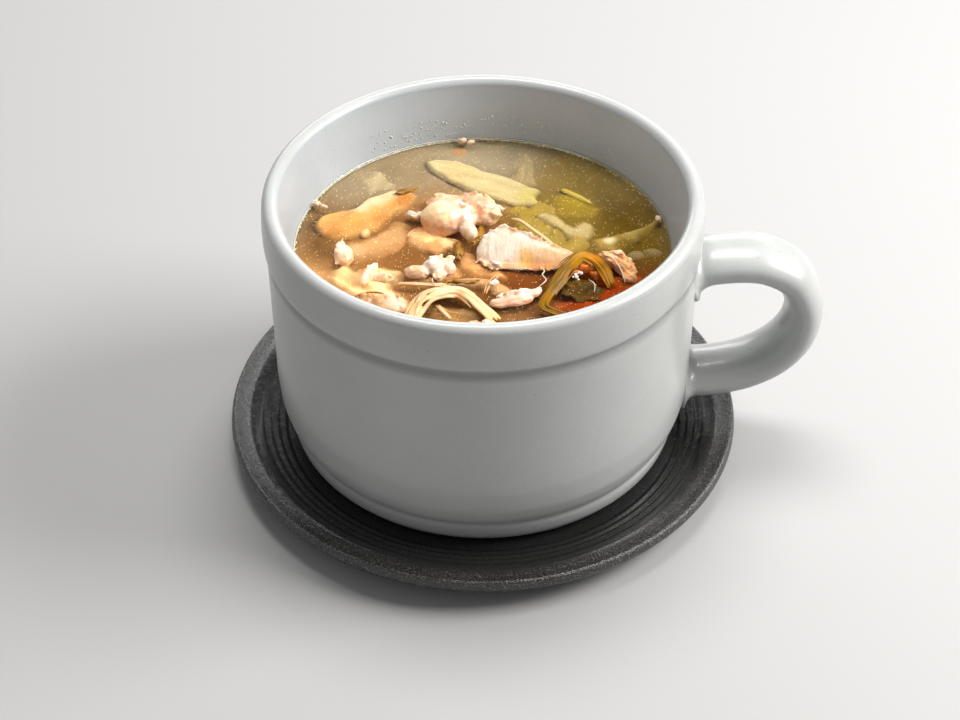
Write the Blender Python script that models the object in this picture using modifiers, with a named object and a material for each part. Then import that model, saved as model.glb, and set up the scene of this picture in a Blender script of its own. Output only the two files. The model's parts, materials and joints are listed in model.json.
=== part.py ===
# Chicken soup in its glazed mug, standing on a dark saucer
import math

import bmesh
import bpy
from mathutils import Matrix, Vector, noise

MM = 0.001
GAP = 0.3 * MM

# Saucer, with heights above the table
SAUCER_RADIUS = 77.2 * MM
SAUCER_RIM_HEIGHT = 10.7 * MM
WELL_HEIGHT = 6.0 * MM
STEP_RADII = (60.4 * MM, 62.8 * MM, 65.1 * MM, 67.3 * MM)
STEP_RISE = 0.62 * MM
FOOT_RING_RADIUS = 48.0 * MM

# Mug, with heights above the underside of its foot
MUG_FOOT = WELL_HEIGHT + GAP
RIM_RADIUS = 62.0 * MM
RIM_HEIGHT = 80.2 * MM
LIP_RISE = 2.4 * MM
LIP_INNER_RADIUS = 57.3 * MM
BAND_RADIUS = 62.4 * MM
BAND_GROOVE_HEIGHT = 67.0 * MM
BODY_RADIUS = 61.6 * MM
FOOT_GROOVE_HEIGHT = 8.4 * MM
FOOT_GROOVE_RADIUS = 58.0 * MM
FOOT_RADIUS = 55.6 * MM
FLOOR_THICKNESS = 8.0 * MM
INNER_RADIUS_AT_SOUP = 54.2 * MM
INNER_RADIUS_LOW = 52.0 * MM
INNER_CORNER = 16.0 * MM
SOUP_HEIGHT = 63.2 * MM
MUG_STEPS = 38
SAUCER_STEPS = 36
BROTH_STEPS = 32

# Handle, an oval bar bent to a loop in the plane y = 0
HANDLE_REACH = 100.1 * MM
HANDLE_HALF_WIDTH = 10.0 * MM
HANDLE_HALF_THICKNESS = 5.6 * MM
HANDLE_FLARE = 2.4 * MM
HANDLE_FLARE_LENGTH = 5.5 * MM
HANDLE_SIDES = 12
HANDLE_RINGS_A_SPAN = 2

# The mug's axis stands to one side, so that the whole object is centred
AXIS_X = (SAUCER_RADIUS - HANDLE_REACH) / 2
SOUP_LEVEL = MUG_FOOT + SOUP_HEIGHT

# Chicken, each lump as (x, y, lift, half length, half width, half height, turn, tip):
# millimetres from the mug's axis and the soup's surface, and degrees
BREAST = [
    (3.2, -4.4, 1.1, 6.0, 5.4, 2.7, 4, 36),
    (8.0, -3.8, 1.7, 6.6, 6.6, 2.9, -8, 38),
    (14.2, -6.2, 1.0, 7.4, 5.4, 2.8, -10, 36),
    (20.8, -7.0, 0.5, 6.0, 3.6, 2.6, 2, 24),
    (25.0, -6.6, 0.2, 2.4, 2.2, 1.8, 0, 0),
]
KNUCKLE = [
    (-11.9, 10.7, 1.5, 6.1, 6.1, 5.8, 0, 0),
    (-7.2, 15.4, 2.2, 4.4, 2.1, 3.2, -22, 0),
    (-4.4, 10.6, 2.0, 2.2, 3.6, 3.2, 8, 0),
    (-3.9, 5.4, 1.3, 2.3, 3.4, 2.8, 20, 0),
    (-7.6, 21.0, -0.2, 7.4, 3.2, 2.4, -6, 0),
    (-0.2, 18.6, 0.5, 5.6, 3.2, 2.9, -22, 0),
    (1.2, 12.9, 1.0, 3.4, 3.9, 3.1, 0, 0),
    (-16.6, 5.2, -1.8, 6.0, 4.8, 3.0, -28, 0),
    (-11.2, 2.0, -1.9, 5.0, 3.2, 2.6, -12, 0),
]
NUGGET = [
    (-18.4, -13.2, 0.1, 4.0, 2.6, 2.4, 6, 0),
    (-13.6, -11.6, 0.6, 3.8, 2.8, 2.8, -8, 0),
    (-9.8, -11.8, 0.4, 2.4, 2.4, 2.4, 0, 0),
    (-12.4, -14.6, 0.2, 2.0, 2.2, 1.9, 60, 0),
]
FLAKE = [
    (-31.9, -14.6, 0.7, 5.0, 1.5, 2.3, 66, 0),
    (-28.2, -15.0, -0.3, 3.4, 2.0, 1.5, -4, 0),
]
ROD = [
    (-39.6, -5.4, 0.1, 3.0, 4.4, 2.8, 10, 0),
    (-40.6, -1.4, -0.2, 1.7, 2.4, 2.0, 0, 0),
    (-33.2, 0.6, -3.6, 9.4, 3.6, 2.9, 40, 0),
]
FRAYED = [
    (8.2, -25.6, -0.3, 6.0, 2.4, 2.0, 12, 0),
    (13.4, -22.9, -0.1, 3.4, 1.5, 1.5, 28, 0),
    (4.4, -26.6, -0.4, 2.8, 2.0, 1.6, 0, 0),
]
FRONT = [
    (-0.4, -39.0, -0.4, 8.4, 3.6, 2.3, 0, 0),
    (6.4, -39.6, -0.6, 4.4, 2.8, 2.0, -14, 0),
]
SIDE = [
    (-31.4, -26.6, -0.4, 4.6, 2.8, 2.2, -36, 0),
    (-26.2, -28.6, 0.1, 4.4, 3.4, 2.4, -16, 0),
    (-23.0, -28.0, 0.0, 2.6, 3.0, 2.2, 0, 0),
]
SHANK = [
    (32.2, -7.6, -0.7, 3.2, 2.2, 1.7, -20, 0),
    (36.6, -8.6, 0.6, 3.4, 2.6, 2.8, -34, 0),
    (39.6, -11.6, 0.5, 3.8, 2.6, 2.7, -48, 0),
    (41.0, -15.2, 0.1, 2.6, 2.0, 2.0, -60, 0),
]

# Strands, as (x, y, lift) in millimetres along each
ARC_PATH = [
    (-20.2, -34.6, -0.3), (-19.0, -30.6, 0.5), (-16.6, -26.0, 1.2), (-12.4, -23.4, 1.7),
    (-7.4, -23.2, 1.8), (-3.6, -25.8, 1.4), (0.2, -30.4, 0.6), (3.4, -34.4, -0.3),
]
ARC_STRANDS = 3
ARC_PITCH = 1.15 * MM
ARC_STRAND_RADIUS = 0.72 * MM
STRANDS = {
    "shred_left": ([(-24.0, -17.6, -0.1), (-19.0, -18.4, 0.3), (-13.4, -18.9, 0.3), (-9.0, -18.2, 0.0)], 0.62),
    "shred_front": ([(-12.6, -27.2, -0.2), (-10.8, -30.6, 0.1), (-8.6, -33.6, 0.0)], 0.6),
    "shred_middle": ([(0.4, -22.6, -0.1), (1.4, -18.8, 0.3), (3.6, -15.2, 0.3), (5.4, -13.4, 0.0)], 0.6),
    "strand_pale": ([(8.2, 12.6, 0.1), (10.9, 11.0, 0.3), (13.8, 7.7, 0.3), (17.8, 2.8, 0.2), (21.2, -1.6, -0.1)], 0.6),
}

# Herb: a bundle of stems bent over in an arch, and a limp leaf under it
STEM_PATH = [
    (25.4, -34.0, -0.5), (20.4, -31.4, -0.1), (16.4, -28.4, 0.3), (18.4, -22.6, 0.7), (21.6, -17.2, 1.6),
    (24.6, -12.6, 3.0), (28.0, -10.2, 4.0), (31.2, -11.8, 3.8), (33.8, -15.4, 2.6), (36.0, -19.6, 0.2),
]
STEM_STRANDS = 3
STEM_PITCH = 1.35 * MM
STEM_RADIUS = 0.85 * MM
LEAF_CENTRE = (27.2, -20.6, -0.5)
LEAF_LENGTH = 7.0 * MM
LEAF_WIDTH = 5.6 * MM
LEAF_THICKNESS = 0.6 * MM
LEAF_WAVE = 0.5 * MM
LEAF_TURN = -24

CRAG = 0.42 * MM
CRAG_SIZE = 2.2 * MM
FIBRE_SIZE = 0.9 * MM
HOLLOW_GAP = 1.0 * MM
HOLLOW_VOXEL_SCALE = 1.5
BUNDLE_GAP = 0.85 * MM
STRAND_GAP = 0.45 * MM


def clear_scene():
    for obj in list(bpy.data.objects):
        bpy.data.objects.remove(obj, do_unlink=True)


def new_collection(name, shown=True):
    found = bpy.data.collections.new(name)
    bpy.context.scene.collection.children.link(found)
    found.hide_render = not shown
    return found


def principled(name, colour, roughness, subsurface=0.0, transmission=0.0):
    material = bpy.data.materials.new(name)
    material.use_nodes = True
    shader = material.node_tree.nodes["Principled BSDF"]
    shader.inputs["Base Color"].default_value = (*colour, 1)
    shader.inputs["Roughness"].default_value = roughness
    shader.inputs["Subsurface Weight"].default_value = subsurface
    shader.inputs["Transmission Weight"].default_value = transmission
    return material


def link(name, mesh, collection, material=None):
    obj = bpy.data.objects.new(name, mesh)
    collection.objects.link(obj)
    if material:
        mesh.materials.append(material)
    return obj


def baked(obj, name, collection, material=None):
    """A plain mesh object of what obj evaluates to, in its place."""
    graph = bpy.context.evaluated_depsgraph_get()
    mesh = bpy.data.meshes.new_from_object(obj.evaluated_get(graph))
    mesh.name = name
    shape = bmesh.new()
    shape.from_mesh(mesh)
    bmesh.ops.remove_doubles(shape, verts=shape.verts, dist=1e-6)
    shape.to_mesh(mesh)
    shape.free()
    mesh.materials.clear()
    matrix = obj.matrix_world.copy()
    bpy.data.objects.remove(obj, do_unlink=True)
    made = link(name, mesh, collection, material)
    made.matrix_world = matrix
    return made


def smooth_shade(mesh, angle=40):
    mesh.shade_smooth()
    mesh.set_sharp_from_angle(angle=math.radians(angle))


def arc(centre, radius, start, end, count):
    """Points (r, z) on an arc, by angles in degrees from +r."""
    points = []
    for i in range(count + 1):
        angle = math.radians(start + (end - start) * i / count)
        points.append((centre[0] + radius * math.cos(angle), centre[1] + radius * math.sin(angle)))
    return points


def turned(name, profile, steps, collection, material):
    """A solid turned about the mug's axis from (r, z) points that run down the outer side."""
    mesh = bpy.data.meshes.new(name)
    mesh.from_pydata([(r, 0, z) for r, z in profile], [(i, i + 1) for i in range(len(profile) - 1)], [])
    obj = link(name, mesh, collection)
    obj.location.x = AXIS_X
    screw = obj.modifiers.new("Turn", "SCREW")
    screw.steps = steps
    screw.render_steps = steps
    screw.use_merge_vertices = True
    screw.merge_threshold = 0.00001
    bpy.context.view_layer.update()
    return baked(obj, name, collection, material)


def through(points, per_span):
    """Points on a smooth curve through the given ones."""
    ends = [points[0] * 2 - points[1], *points, points[-1] * 2 - points[-2]]
    path = []
    for a, b, c, d in zip(ends, ends[1:], ends[2:], ends[3:]):
        for i in range(per_span):
            t = i / per_span
            path.append(
                ((b * 2) + (c - a) * t + (a * 2 - b * 5 + c * 4 - d) * t * t + (b * 3 - a - c * 3 + d) * t**3) / 2
            )
    path.append(points[-1].copy())
    return path


def in_bowl(x, y, lift):
    return Vector((AXIS_X + x * MM, y * MM, SOUP_LEVEL + lift * MM))


def joined(name, parts, collection, material=None):
    """One body out of overlapping ones."""
    first, rest = parts[0], parts[1:]
    holder = new_collection(name + "_parts", shown=False)
    for obj in rest:
        for owner in list(obj.users_collection):
            owner.objects.unlink(obj)
        holder.objects.link(obj)
    union = first.modifiers.new("Join", "BOOLEAN")
    union.operation = "UNION"
    union.operand_type = "COLLECTION"
    union.collection = holder
    union.solver = "MANIFOLD"
    bpy.context.view_layer.update()
    made = baked(first, name, collection, material)
    for obj in list(holder.objects):
        bpy.data.objects.remove(obj, do_unlink=True)
    bpy.data.collections.remove(holder)
    return made


def carved(obj, cutters, collection, material):
    """What is left of obj once the cutters are taken away."""
    name = obj.name
    cut = obj.modifiers.new("Cut", "BOOLEAN")
    cut.operation = "DIFFERENCE"
    cut.operand_type = "COLLECTION"
    cut.collection = cutters
    cut.solver = "MANIFOLD"
    bpy.context.view_layer.update()
    return baked(obj, name, collection, material)


def largest_body(mesh):
    """Drops the loose scraps beside the largest connected body."""
    shape = bmesh.new()
    shape.from_mesh(mesh)
    left = set(shape.verts)
    bodies = []
    while left:
        body = {left.pop()}
        edge = set(body)
        while edge:
            edge = {e.other_vert(v) for v in edge for e in v.link_edges} - body
            body |= edge
        left -= body
        bodies.append(body)
    bodies.sort(key=len)
    scraps = [v for body in bodies[:-1] for v in body]
    bmesh.ops.delete(shape, geom=scraps, context="VERTS")
    shape.to_mesh(mesh)
    shape.free()


def mug_profile():
    floor = MUG_FOOT + FLOOR_THICKNESS
    top = MUG_FOOT + RIM_HEIGHT
    groove = MUG_FOOT + BAND_GROOVE_HEIGHT
    foot_groove = MUG_FOOT + FOOT_GROOVE_HEIGHT
    corner = (INNER_RADIUS_LOW - INNER_CORNER, floor + INNER_CORNER)
    lip = ((LIP_INNER_RADIUS + RIM_RADIUS) / 2, top + 0.1 * MM)
    half = (RIM_RADIUS - LIP_INNER_RADIUS) / 2
    lip_arc = [(r, lip[1] + (z - lip[1]) * LIP_RISE / half) for r, z in arc(lip, half, 180, 0, 5)]
    return [
        (0, floor),
        *arc(corner, INNER_CORNER, -90, 0, 4),
        (INNER_RADIUS_LOW + 1.1 * MM, MUG_FOOT + 44 * MM),
        (INNER_RADIUS_AT_SOUP, SOUP_LEVEL),
        (INNER_RADIUS_AT_SOUP + 1.5 * MM, SOUP_LEVEL + 9 * MM),
        *lip_arc,
        (BAND_RADIUS, top - 4 * MM),
        (BAND_RADIUS, groove + 3.4 * MM),
        (BAND_RADIUS - 0.35 * MM, groove + 1.5 * MM),
        (BODY_RADIUS - 0.35 * MM, groove + 0.2 * MM),
        (BODY_RADIUS - 0.35 * MM, groove - 0.6 * MM),
        (BODY_RADIUS, groove - 2.2 * MM),
        (BODY_RADIUS, MUG_FOOT + 24 * MM),
        (BODY_RADIUS - 0.5 * MM, MUG_FOOT + 16 * MM),
        (BODY_RADIUS - 1.7 * MM, MUG_FOOT + 11.4 * MM),
        (FOOT_GROOVE_RADIUS + 0.2 * MM, foot_groove + 0.5 * MM),
        (FOOT_GROOVE_RADIUS, foot_groove - 0.2 * MM),
        (FOOT_GROOVE_RADIUS + 0.5 * MM, foot_groove - 1.6 * MM),
        (FOOT_GROOVE_RADIUS + 0.1 * MM, MUG_FOOT + 3.4 * MM),
        (FOOT_RADIUS + 0.6 * MM, MUG_FOOT + 0.8 * MM),
        (FOOT_RADIUS - 0.8 * MM, MUG_FOOT),
        (FOOT_RADIUS - 6 * MM, MUG_FOOT),
        (FOOT_RADIUS - 7.5 * MM, MUG_FOOT + 1.5 * MM),
        (0, MUG_FOOT + 1.5 * MM),
    ]


def handle_path():
    """The loop's centre line, from inside the wall at the band to inside the wall low on the body."""
    bend = HANDLE_REACH - HANDLE_HALF_THICKNESS
    inside = BODY_RADIUS - 3.2 * MM
    outline = [
        (inside, 56.2), (BODY_RADIUS + 1 * MM, 57.1), (BODY_RADIUS + 5 * MM, 58.2),
        (BODY_RADIUS + 13 * MM, 58.9), (bend - 12.6 * MM, 57.9),
        (bend - 5.0 * MM, 53.6), (bend - 0.9 * MM, 46.2), (bend, 38.6), (bend - 1.9 * MM, 31.0),
        (bend - 7.2 * MM, 24.0), (bend - 15.6 * MM, 18.8), (BODY_RADIUS + 8 * MM, 16.3),
        (BODY_RADIUS + 1 * MM, 15.7), (inside, 15.6),
    ]
    return through([Vector((x, 0, MUG_FOOT + z * MM)) for x, z in outline], HANDLE_RINGS_A_SPAN)


def flare(distance):
    """How much wider the bar is this far from the wall."""
    near = min(max(1 - distance / HANDLE_FLARE_LENGTH, 0), 1)
    return HANDLE_FLARE * near * near


def handle_mesh(name):
    path = handle_path()
    shape = bmesh.new()
    rings = []
    for i, point in enumerate(path):
        along = (path[min(i + 1, len(path) - 1)] - path[max(i - 1, 0)]).normalized()
        out = Vector((along.z, 0, -along.x))
        extra = flare(point.x - BODY_RADIUS)
        ring = []
        for k in range(HANDLE_SIDES):
            angle = 2 * math.pi * k / HANDLE_SIDES
            across = out * math.cos(angle) * (HANDLE_HALF_THICKNESS + extra)
            sideways = Vector((0, 1, 0)) * math.sin(angle) * (HANDLE_HALF_WIDTH + extra)
            ring.append(shape.verts.new(point + across + sideways))
        rings.append(ring)
    for low, high in zip(rings, rings[1:]):
        for k in range(HANDLE_SIDES):
            n = (k + 1) % HANDLE_SIDES
            shape.faces.new((low[k], low[n], high[n], high[k]))
    shape.faces.new(rings[0][::-1])
    shape.faces.new(rings[-1])
    bmesh.ops.recalc_face_normals(shape, faces=shape.faces)
    mesh = bpy.data.meshes.new(name)
    shape.to_mesh(mesh)
    shape.free()
    return mesh


def build_mug(collection):
    glaze = principled("grey_glaze", (0.52, 0.53, 0.53), 0.18)
    body = turned("mug_body", mug_profile(), MUG_STEPS, collection, None)
    handle = link("mug_handle", handle_mesh("mug_handle"), collection)
    handle.location.x = AXIS_X
    mug = joined("mug", [body, handle], collection, glaze)
    smooth_shade(mug.data)


def saucer_profile():
    steps = []
    for i, radius in enumerate(STEP_RADII):
        low = WELL_HEIGHT + i * STEP_RISE
        steps += [(radius - 0.35 * MM, low), (radius + 0.35 * MM, low + STEP_RISE)]
    level = WELL_HEIGHT + len(STEP_RADII) * STEP_RISE
    top = [
        (0, WELL_HEIGHT),
        (57.0 * MM, WELL_HEIGHT),
        *steps,
        (70.2 * MM, level + 0.9 * MM),
        (71.4 * MM, level + 0.6 * MM),
        (73.2 * MM, level + 0.9 * MM),
        (SAUCER_RADIUS - 2.2 * MM, SAUCER_RIM_HEIGHT - 0.5 * MM),
        (SAUCER_RADIUS - 1.2 * MM, SAUCER_RIM_HEIGHT),
        (SAUCER_RADIUS - 0.5 * MM, SAUCER_RIM_HEIGHT - 0.6 * MM),
    ]
    under = [
        (SAUCER_RADIUS, SAUCER_RIM_HEIGHT - 2.5 * MM),
        (SAUCER_RADIUS - 0.8 * MM, SAUCER_RIM_HEIGHT - 4.0 * MM),
        (SAUCER_RADIUS - 7.0 * MM, 4.4 * MM),
        (FOOT_RING_RADIUS + 10 * MM, 2.4 * MM),
        (FOOT_RING_RADIUS + 4 * MM, 1.8 * MM),
        (FOOT_RING_RADIUS + 2.4 * MM, 0),
        (FOOT_RING_RADIUS - 2.4 * MM, 0),
        (FOOT_RING_RADIUS - 4 * MM, 1.6 * MM),
        (0, 1.6 * MM),
    ]
    return top + under


def build_saucer(collection):
    black = principled("matte_black", (0.012, 0.012, 0.012), 0.45)
    saucer = turned("saucer", saucer_profile(), SAUCER_STEPS, collection, black)
    smooth_shade(saucer.data, 30)


def broth_profile():
    floor = MUG_FOOT + FLOOR_THICKNESS + GAP
    corner = (INNER_RADIUS_LOW - INNER_CORNER, MUG_FOOT + FLOOR_THICKNESS + INNER_CORNER)
    low = arc(corner, INNER_CORNER - GAP, 0, -90, 4)
    return [
        (0, SOUP_LEVEL),
        (INNER_RADIUS_AT_SOUP - GAP, SOUP_LEVEL),
        (INNER_RADIUS_LOW + 1.1 * MM - GAP, MUG_FOOT + 44 * MM),
        *low,
        (0, floor),
    ]


def lump_matrix(lump, grow):
    x, y, lift, length, width, height, turn, tip = lump
    size = Matrix.Diagonal((length * MM + grow, width * MM + grow, height * MM + grow, 1))
    turned_by = Matrix.Rotation(math.radians(turn), 4, "Z") @ Matrix.Rotation(math.radians(tip), 4, "X")
    return Matrix.Translation(in_bowl(x, y, lift)) @ turned_by @ size


def clay(name, lumps, grow, voxel, collection):
    """Lumps pressed together into one closed body."""
    shape = bmesh.new()
    for lump in lumps:
        bmesh.ops.create_icosphere(shape, subdivisions=3, radius=1.0, matrix=lump_matrix(lump, grow))
    mesh = bpy.data.meshes.new(name)
    shape.to_mesh(mesh)
    shape.free()
    obj = link(name, mesh, collection)
    press = obj.modifiers.new("Press", "REMESH")
    press.mode = "VOXEL"
    press.voxel_size = voxel
    bpy.context.view_layer.update()
    return baked(obj, name, collection)


def roughen(obj, turn, crag):
    """Draws the surface in by crags and by fibres that run along the turn, never out."""
    mesh = obj.data
    mesh.update()
    along = Matrix.Rotation(math.radians(-turn), 3, "Z")
    moved = []
    for vertex in mesh.vertices:
        place = vertex.co
        lump = noise.fractal(place / CRAG_SIZE, 1.0, 2.0, 2)
        turned_place = along @ place
        fibre = noise.noise(Vector((turned_place.x * 0.2, turned_place.y, turned_place.z)) / FIBRE_SIZE)
        depth = min(max(0.5 + 0.6 * lump + 0.35 * fibre, 0), 1.2)
        moved.append(place - vertex.normal * depth * crag)
    for vertex, place in zip(mesh.vertices, moved):
        vertex.co = place


def build_meat(name, lumps, voxel, turn, colour, collection, cutters, crag=CRAG):
    obj = clay(name, lumps, 0, voxel, collection)
    roughen(obj, turn, crag)
    largest_body(obj.data)
    obj.data.materials.append(principled(name, colour, 0.4, subsurface=0.2))
    obj.data.shade_smooth()
    hollow = clay(name + "_hollow", lumps, HOLLOW_GAP, voxel * HOLLOW_VOXEL_SCALE, cutters)
    hollow.display_type = "WIRE"


def tube(name, points, radius, collection, sides=6, taper=0.45):
    """A strand along the points, thinner at its ends."""
    curve = bpy.data.curves.new(name, "CURVE")
    curve.dimensions = "3D"
    curve.bevel_depth = radius
    curve.bevel_resolution = sides // 2 - 2
    curve.use_fill_caps = True
    spline = curve.splines.new("POLY")
    spline.points.add(len(points) - 1)
    last = len(points) - 1
    for i, point in enumerate(points):
        spline.points[i].co = (*point, 1)
        near_end = min(i, last - i) / 2
        spline.points[i].radius = min(taper + (1 - taper) * near_end, 1)
    obj = bpy.data.objects.new(name, curve)
    collection.objects.link(obj)
    bpy.context.view_layer.update()
    made = baked(obj, name, collection)
    shape = bmesh.new()
    shape.from_mesh(made.data)
    bmesh.ops.remove_doubles(shape, verts=shape.verts, dist=1e-5)
    bmesh.ops.recalc_face_normals(shape, faces=shape.faces)
    shape.to_mesh(made.data)
    shape.free()
    return made


def beside(path, shift, sway):
    """The path moved sideways in the soup's plane, wandering a little."""
    moved = []
    for i, point in enumerate(path):
        along = path[min(i + 1, len(path) - 1)] - path[max(i - 1, 0)]
        side = Vector((-along.y, along.x, 0)).normalized()
        wander = noise.noise(point / (6 * MM) + Vector((shift / MM, 0, 0))) * sway
        moved.append(point + side * (shift + wander) + Vector((0, 0, wander * 0.5)))
    return moved


def build_bundle(name, path_points, count, pitch, radius, per_span, colour, collection, cutters):
    """Strands that lie against each other, fused."""
    path = through([in_bowl(*point) for point in path_points], per_span)
    strands = []
    for i in range(count):
        shift = (i - (count - 1) / 2) * pitch
        strands.append(tube(f"{name}_{i}", beside(path, shift, 0.3 * MM), radius, collection))
    obj = joined(name, strands, collection, principled(name, colour, 0.35, subsurface=0.2))
    largest_body(obj.data)
    obj.data.shade_smooth()
    reach = radius + (count - 1) * pitch / 2 + BUNDLE_GAP
    hollow = tube(name + "_hollow", path, reach, cutters, taper=1.0)
    hollow.display_type = "WIRE"


def build_strand(name, points, radius, collection, cutters):
    path = through([in_bowl(*point) for point in points], 3)
    obj = tube(name, path, radius, collection)
    obj.data.materials.append(principled(name, (0.86, 0.7, 0.46), 0.35, subsurface=0.2))
    obj.data.shade_smooth()
    hollow = tube(name + "_hollow", path, radius + STRAND_GAP, cutters, taper=1.0)
    hollow.display_type = "WIRE"


def leaf_sheet(name, thickness, grow, collection):
    """A wavy oval sheet with a wall of this thickness."""
    shape = bmesh.new()
    bmesh.ops.create_grid(shape, x_segments=7, y_segments=5, size=1.0)
    for vertex in shape.verts:
        x, y = vertex.co.x, vertex.co.y
        round_x = x * math.sqrt(1 - y * y / 2)
        round_y = y * math.sqrt(1 - x * x / 2)
        wave = math.sin(round_x * 4.2) * math.cos(round_y * 3.1) + 0.5 * math.sin(round_y * 6)
        vertex.co = ((LEAF_LENGTH + grow) * round_x, (LEAF_WIDTH + grow) * round_y, LEAF_WAVE * wave)
    bmesh.ops.triangulate(shape, faces=shape.faces)
    mesh = bpy.data.meshes.new(name)
    shape.to_mesh(mesh)
    shape.free()
    obj = link(name, mesh, collection)
    obj.location = in_bowl(*LEAF_CENTRE)
    obj.rotation_euler = (0, 0, math.radians(LEAF_TURN))
    wall = obj.modifiers.new("Wall", "SOLIDIFY")
    wall.thickness = thickness
    wall.offset = 0
    bpy.context.view_layer.update()
    return baked(obj, name, collection)


def build_leaf(collection, cutters):
    leaf = leaf_sheet("herb_leaf", LEAF_THICKNESS, 0, collection)
    leaf.data.materials.append(principled("herb_leaf", (0.05, 0.07, 0.01), 0.3))
    leaf.data.shade_smooth()
    hollow = leaf_sheet("herb_leaf_hollow", LEAF_THICKNESS + 2 * 0.6 * MM, 0.6 * MM, cutters)
    hollow.display_type = "WIRE"


def build_contents(collection):
    cutters = new_collection("hollows", shown=False)
    white, pink, tan = (0.9, 0.8, 0.64), (0.86, 0.6, 0.42), (0.8, 0.52, 0.26)
    build_meat("chicken_breast", BREAST, 1.6 * MM, -8, white, collection, cutters)
    build_meat("chicken_knuckle", KNUCKLE, 2.0 * MM, 20, pink, collection, cutters, crag=0.3 * MM)
    build_meat("chicken_nugget", NUGGET, 1.4 * MM, 5, white, collection, cutters)
    build_meat("chicken_flake", FLAKE, 1.15 * MM, 66, white, collection, cutters, crag=0.25 * MM)
    build_meat("chicken_rod", ROD, 1.9 * MM, 40, tan, collection, cutters)
    build_meat("chicken_frayed", FRAYED, 1.25 * MM, 14, pink, collection, cutters)
    build_meat("chicken_front", FRONT, 1.8 * MM, 0, white, collection, cutters)
    build_meat("chicken_side", SIDE, 1.5 * MM, -20, pink, collection, cutters)
    build_meat("chicken_shank", SHANK, 1.4 * MM, -45, tan, collection, cutters)
    build_bundle("chicken_arc", ARC_PATH, ARC_STRANDS, ARC_PITCH, ARC_STRAND_RADIUS, 2,
                 (0.86, 0.68, 0.42), collection, cutters)
    for name, (points, radius) in STRANDS.items():
        build_strand(name, points, radius * MM, collection, cutters)
    build_bundle("herb_stems", STEM_PATH, STEM_STRANDS, STEM_PITCH, STEM_RADIUS, 2,
                 (0.36, 0.2, 0.02), collection, cutters)
    build_leaf(collection, cutters)
    clear_broth = principled("broth", (0.42, 0.27, 0.1), 0.05, transmission=0.6)
    broth = turned("broth", broth_profile(), BROTH_STEPS, collection, None)
    broth = carved(broth, cutters, collection, clear_broth)
    largest_body(broth.data)
    smooth_shade(broth.data, 30)
    for obj in list(cutters.objects):
        bpy.data.objects.remove(obj, do_unlink=True)


def main():
    clear_scene()
    collection = new_collection("soup_mug")
    build_saucer(collection)
    build_mug(collection)
    build_contents(collection)


main()
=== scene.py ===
# Chicken soup in a grey glazed mug on a black saucer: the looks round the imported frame
import json
import math
import random

import bmesh
import bpy
import numpy as np
from mathutils import Matrix, Vector, noise

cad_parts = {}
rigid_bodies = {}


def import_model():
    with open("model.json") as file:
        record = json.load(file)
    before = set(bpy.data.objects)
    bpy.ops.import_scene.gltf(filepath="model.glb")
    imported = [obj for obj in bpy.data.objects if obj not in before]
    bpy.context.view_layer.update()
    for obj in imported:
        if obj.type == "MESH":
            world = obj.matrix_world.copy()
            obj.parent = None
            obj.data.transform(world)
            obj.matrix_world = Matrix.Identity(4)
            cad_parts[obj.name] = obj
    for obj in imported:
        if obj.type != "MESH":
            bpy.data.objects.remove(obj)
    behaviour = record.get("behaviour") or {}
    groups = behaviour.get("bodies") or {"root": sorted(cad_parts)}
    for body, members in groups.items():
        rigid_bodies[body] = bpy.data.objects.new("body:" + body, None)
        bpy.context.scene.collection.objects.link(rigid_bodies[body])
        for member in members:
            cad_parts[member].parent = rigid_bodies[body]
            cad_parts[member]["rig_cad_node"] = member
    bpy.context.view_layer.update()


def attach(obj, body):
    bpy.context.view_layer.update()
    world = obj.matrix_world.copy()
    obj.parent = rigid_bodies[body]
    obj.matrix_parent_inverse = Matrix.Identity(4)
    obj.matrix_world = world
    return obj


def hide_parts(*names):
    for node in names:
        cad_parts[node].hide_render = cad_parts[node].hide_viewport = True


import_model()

mm = 0.001
scene = bpy.context.scene

# Heights are in metres over the table, and the food is set out in millimetres
# from the mug's axis and the soup's surface, x towards the handle and -y towards the viewer
setting = {
    "axisX": -0.01145,
    "mugFoot": 0.0063,
    "soupTop": 0.0695,
    "wallRadius": 0.0542,   # inside of the mug where the soup meets it
}
bowlRadius = setting["wallRadius"] / mm   # the same in millimetres, for laying out the food


def inBowl(x, y, lift=0.0):
    return Vector((setting["axisX"] + x * mm, y * mm, setting["soupTop"] + lift * mm))


def tone(red, green, blue):
    # a display colour from 0 to 255 as linear light
    levels = [v / 255 for v in (red, green, blue)]
    return tuple(v / 12.92 if v <= 0.04045 else ((v + 0.055) / 1.055) ** 2.4 for v in levels)


# Meshes

def meshOf(shape, name):
    mesh = bpy.data.meshes.new(name)
    shape.to_mesh(mesh)
    shape.free()
    return mesh


def finished(mesh, modifiers=()):
    # the mesh with a list of modifiers applied, each as its kind and its values
    obj = bpy.data.objects.new("work", mesh)
    scene.collection.objects.link(obj)
    for kind, values in modifiers:
        modifier = obj.modifiers.new(kind, kind)
        for key, value in values.items():
            setattr(modifier, key, value)
    bpy.context.view_layer.update()
    graph = bpy.context.evaluated_depsgraph_get()
    made = bpy.data.meshes.new_from_object(obj.evaluated_get(graph))
    bpy.data.objects.remove(obj, do_unlink=True)
    return made


def outward(mesh):
    # doubles merged first, then every face turned outwards
    shape = bmesh.new()
    shape.from_mesh(mesh)
    bmesh.ops.remove_doubles(shape, verts=shape.verts, dist=1e-7)
    bmesh.ops.recalc_face_normals(shape, faces=shape.faces)
    shape.to_mesh(mesh)
    shape.free()
    return mesh


def pressed(mesh, voxel, smoothing):
    # overlapping closed forms turned into one skin
    return finished(mesh, [("REMESH", {"mode": "VOXEL", "voxel_size": voxel * mm}),
                           ("SMOOTH", {"factor": 0.5, "iterations": smoothing})])


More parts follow.
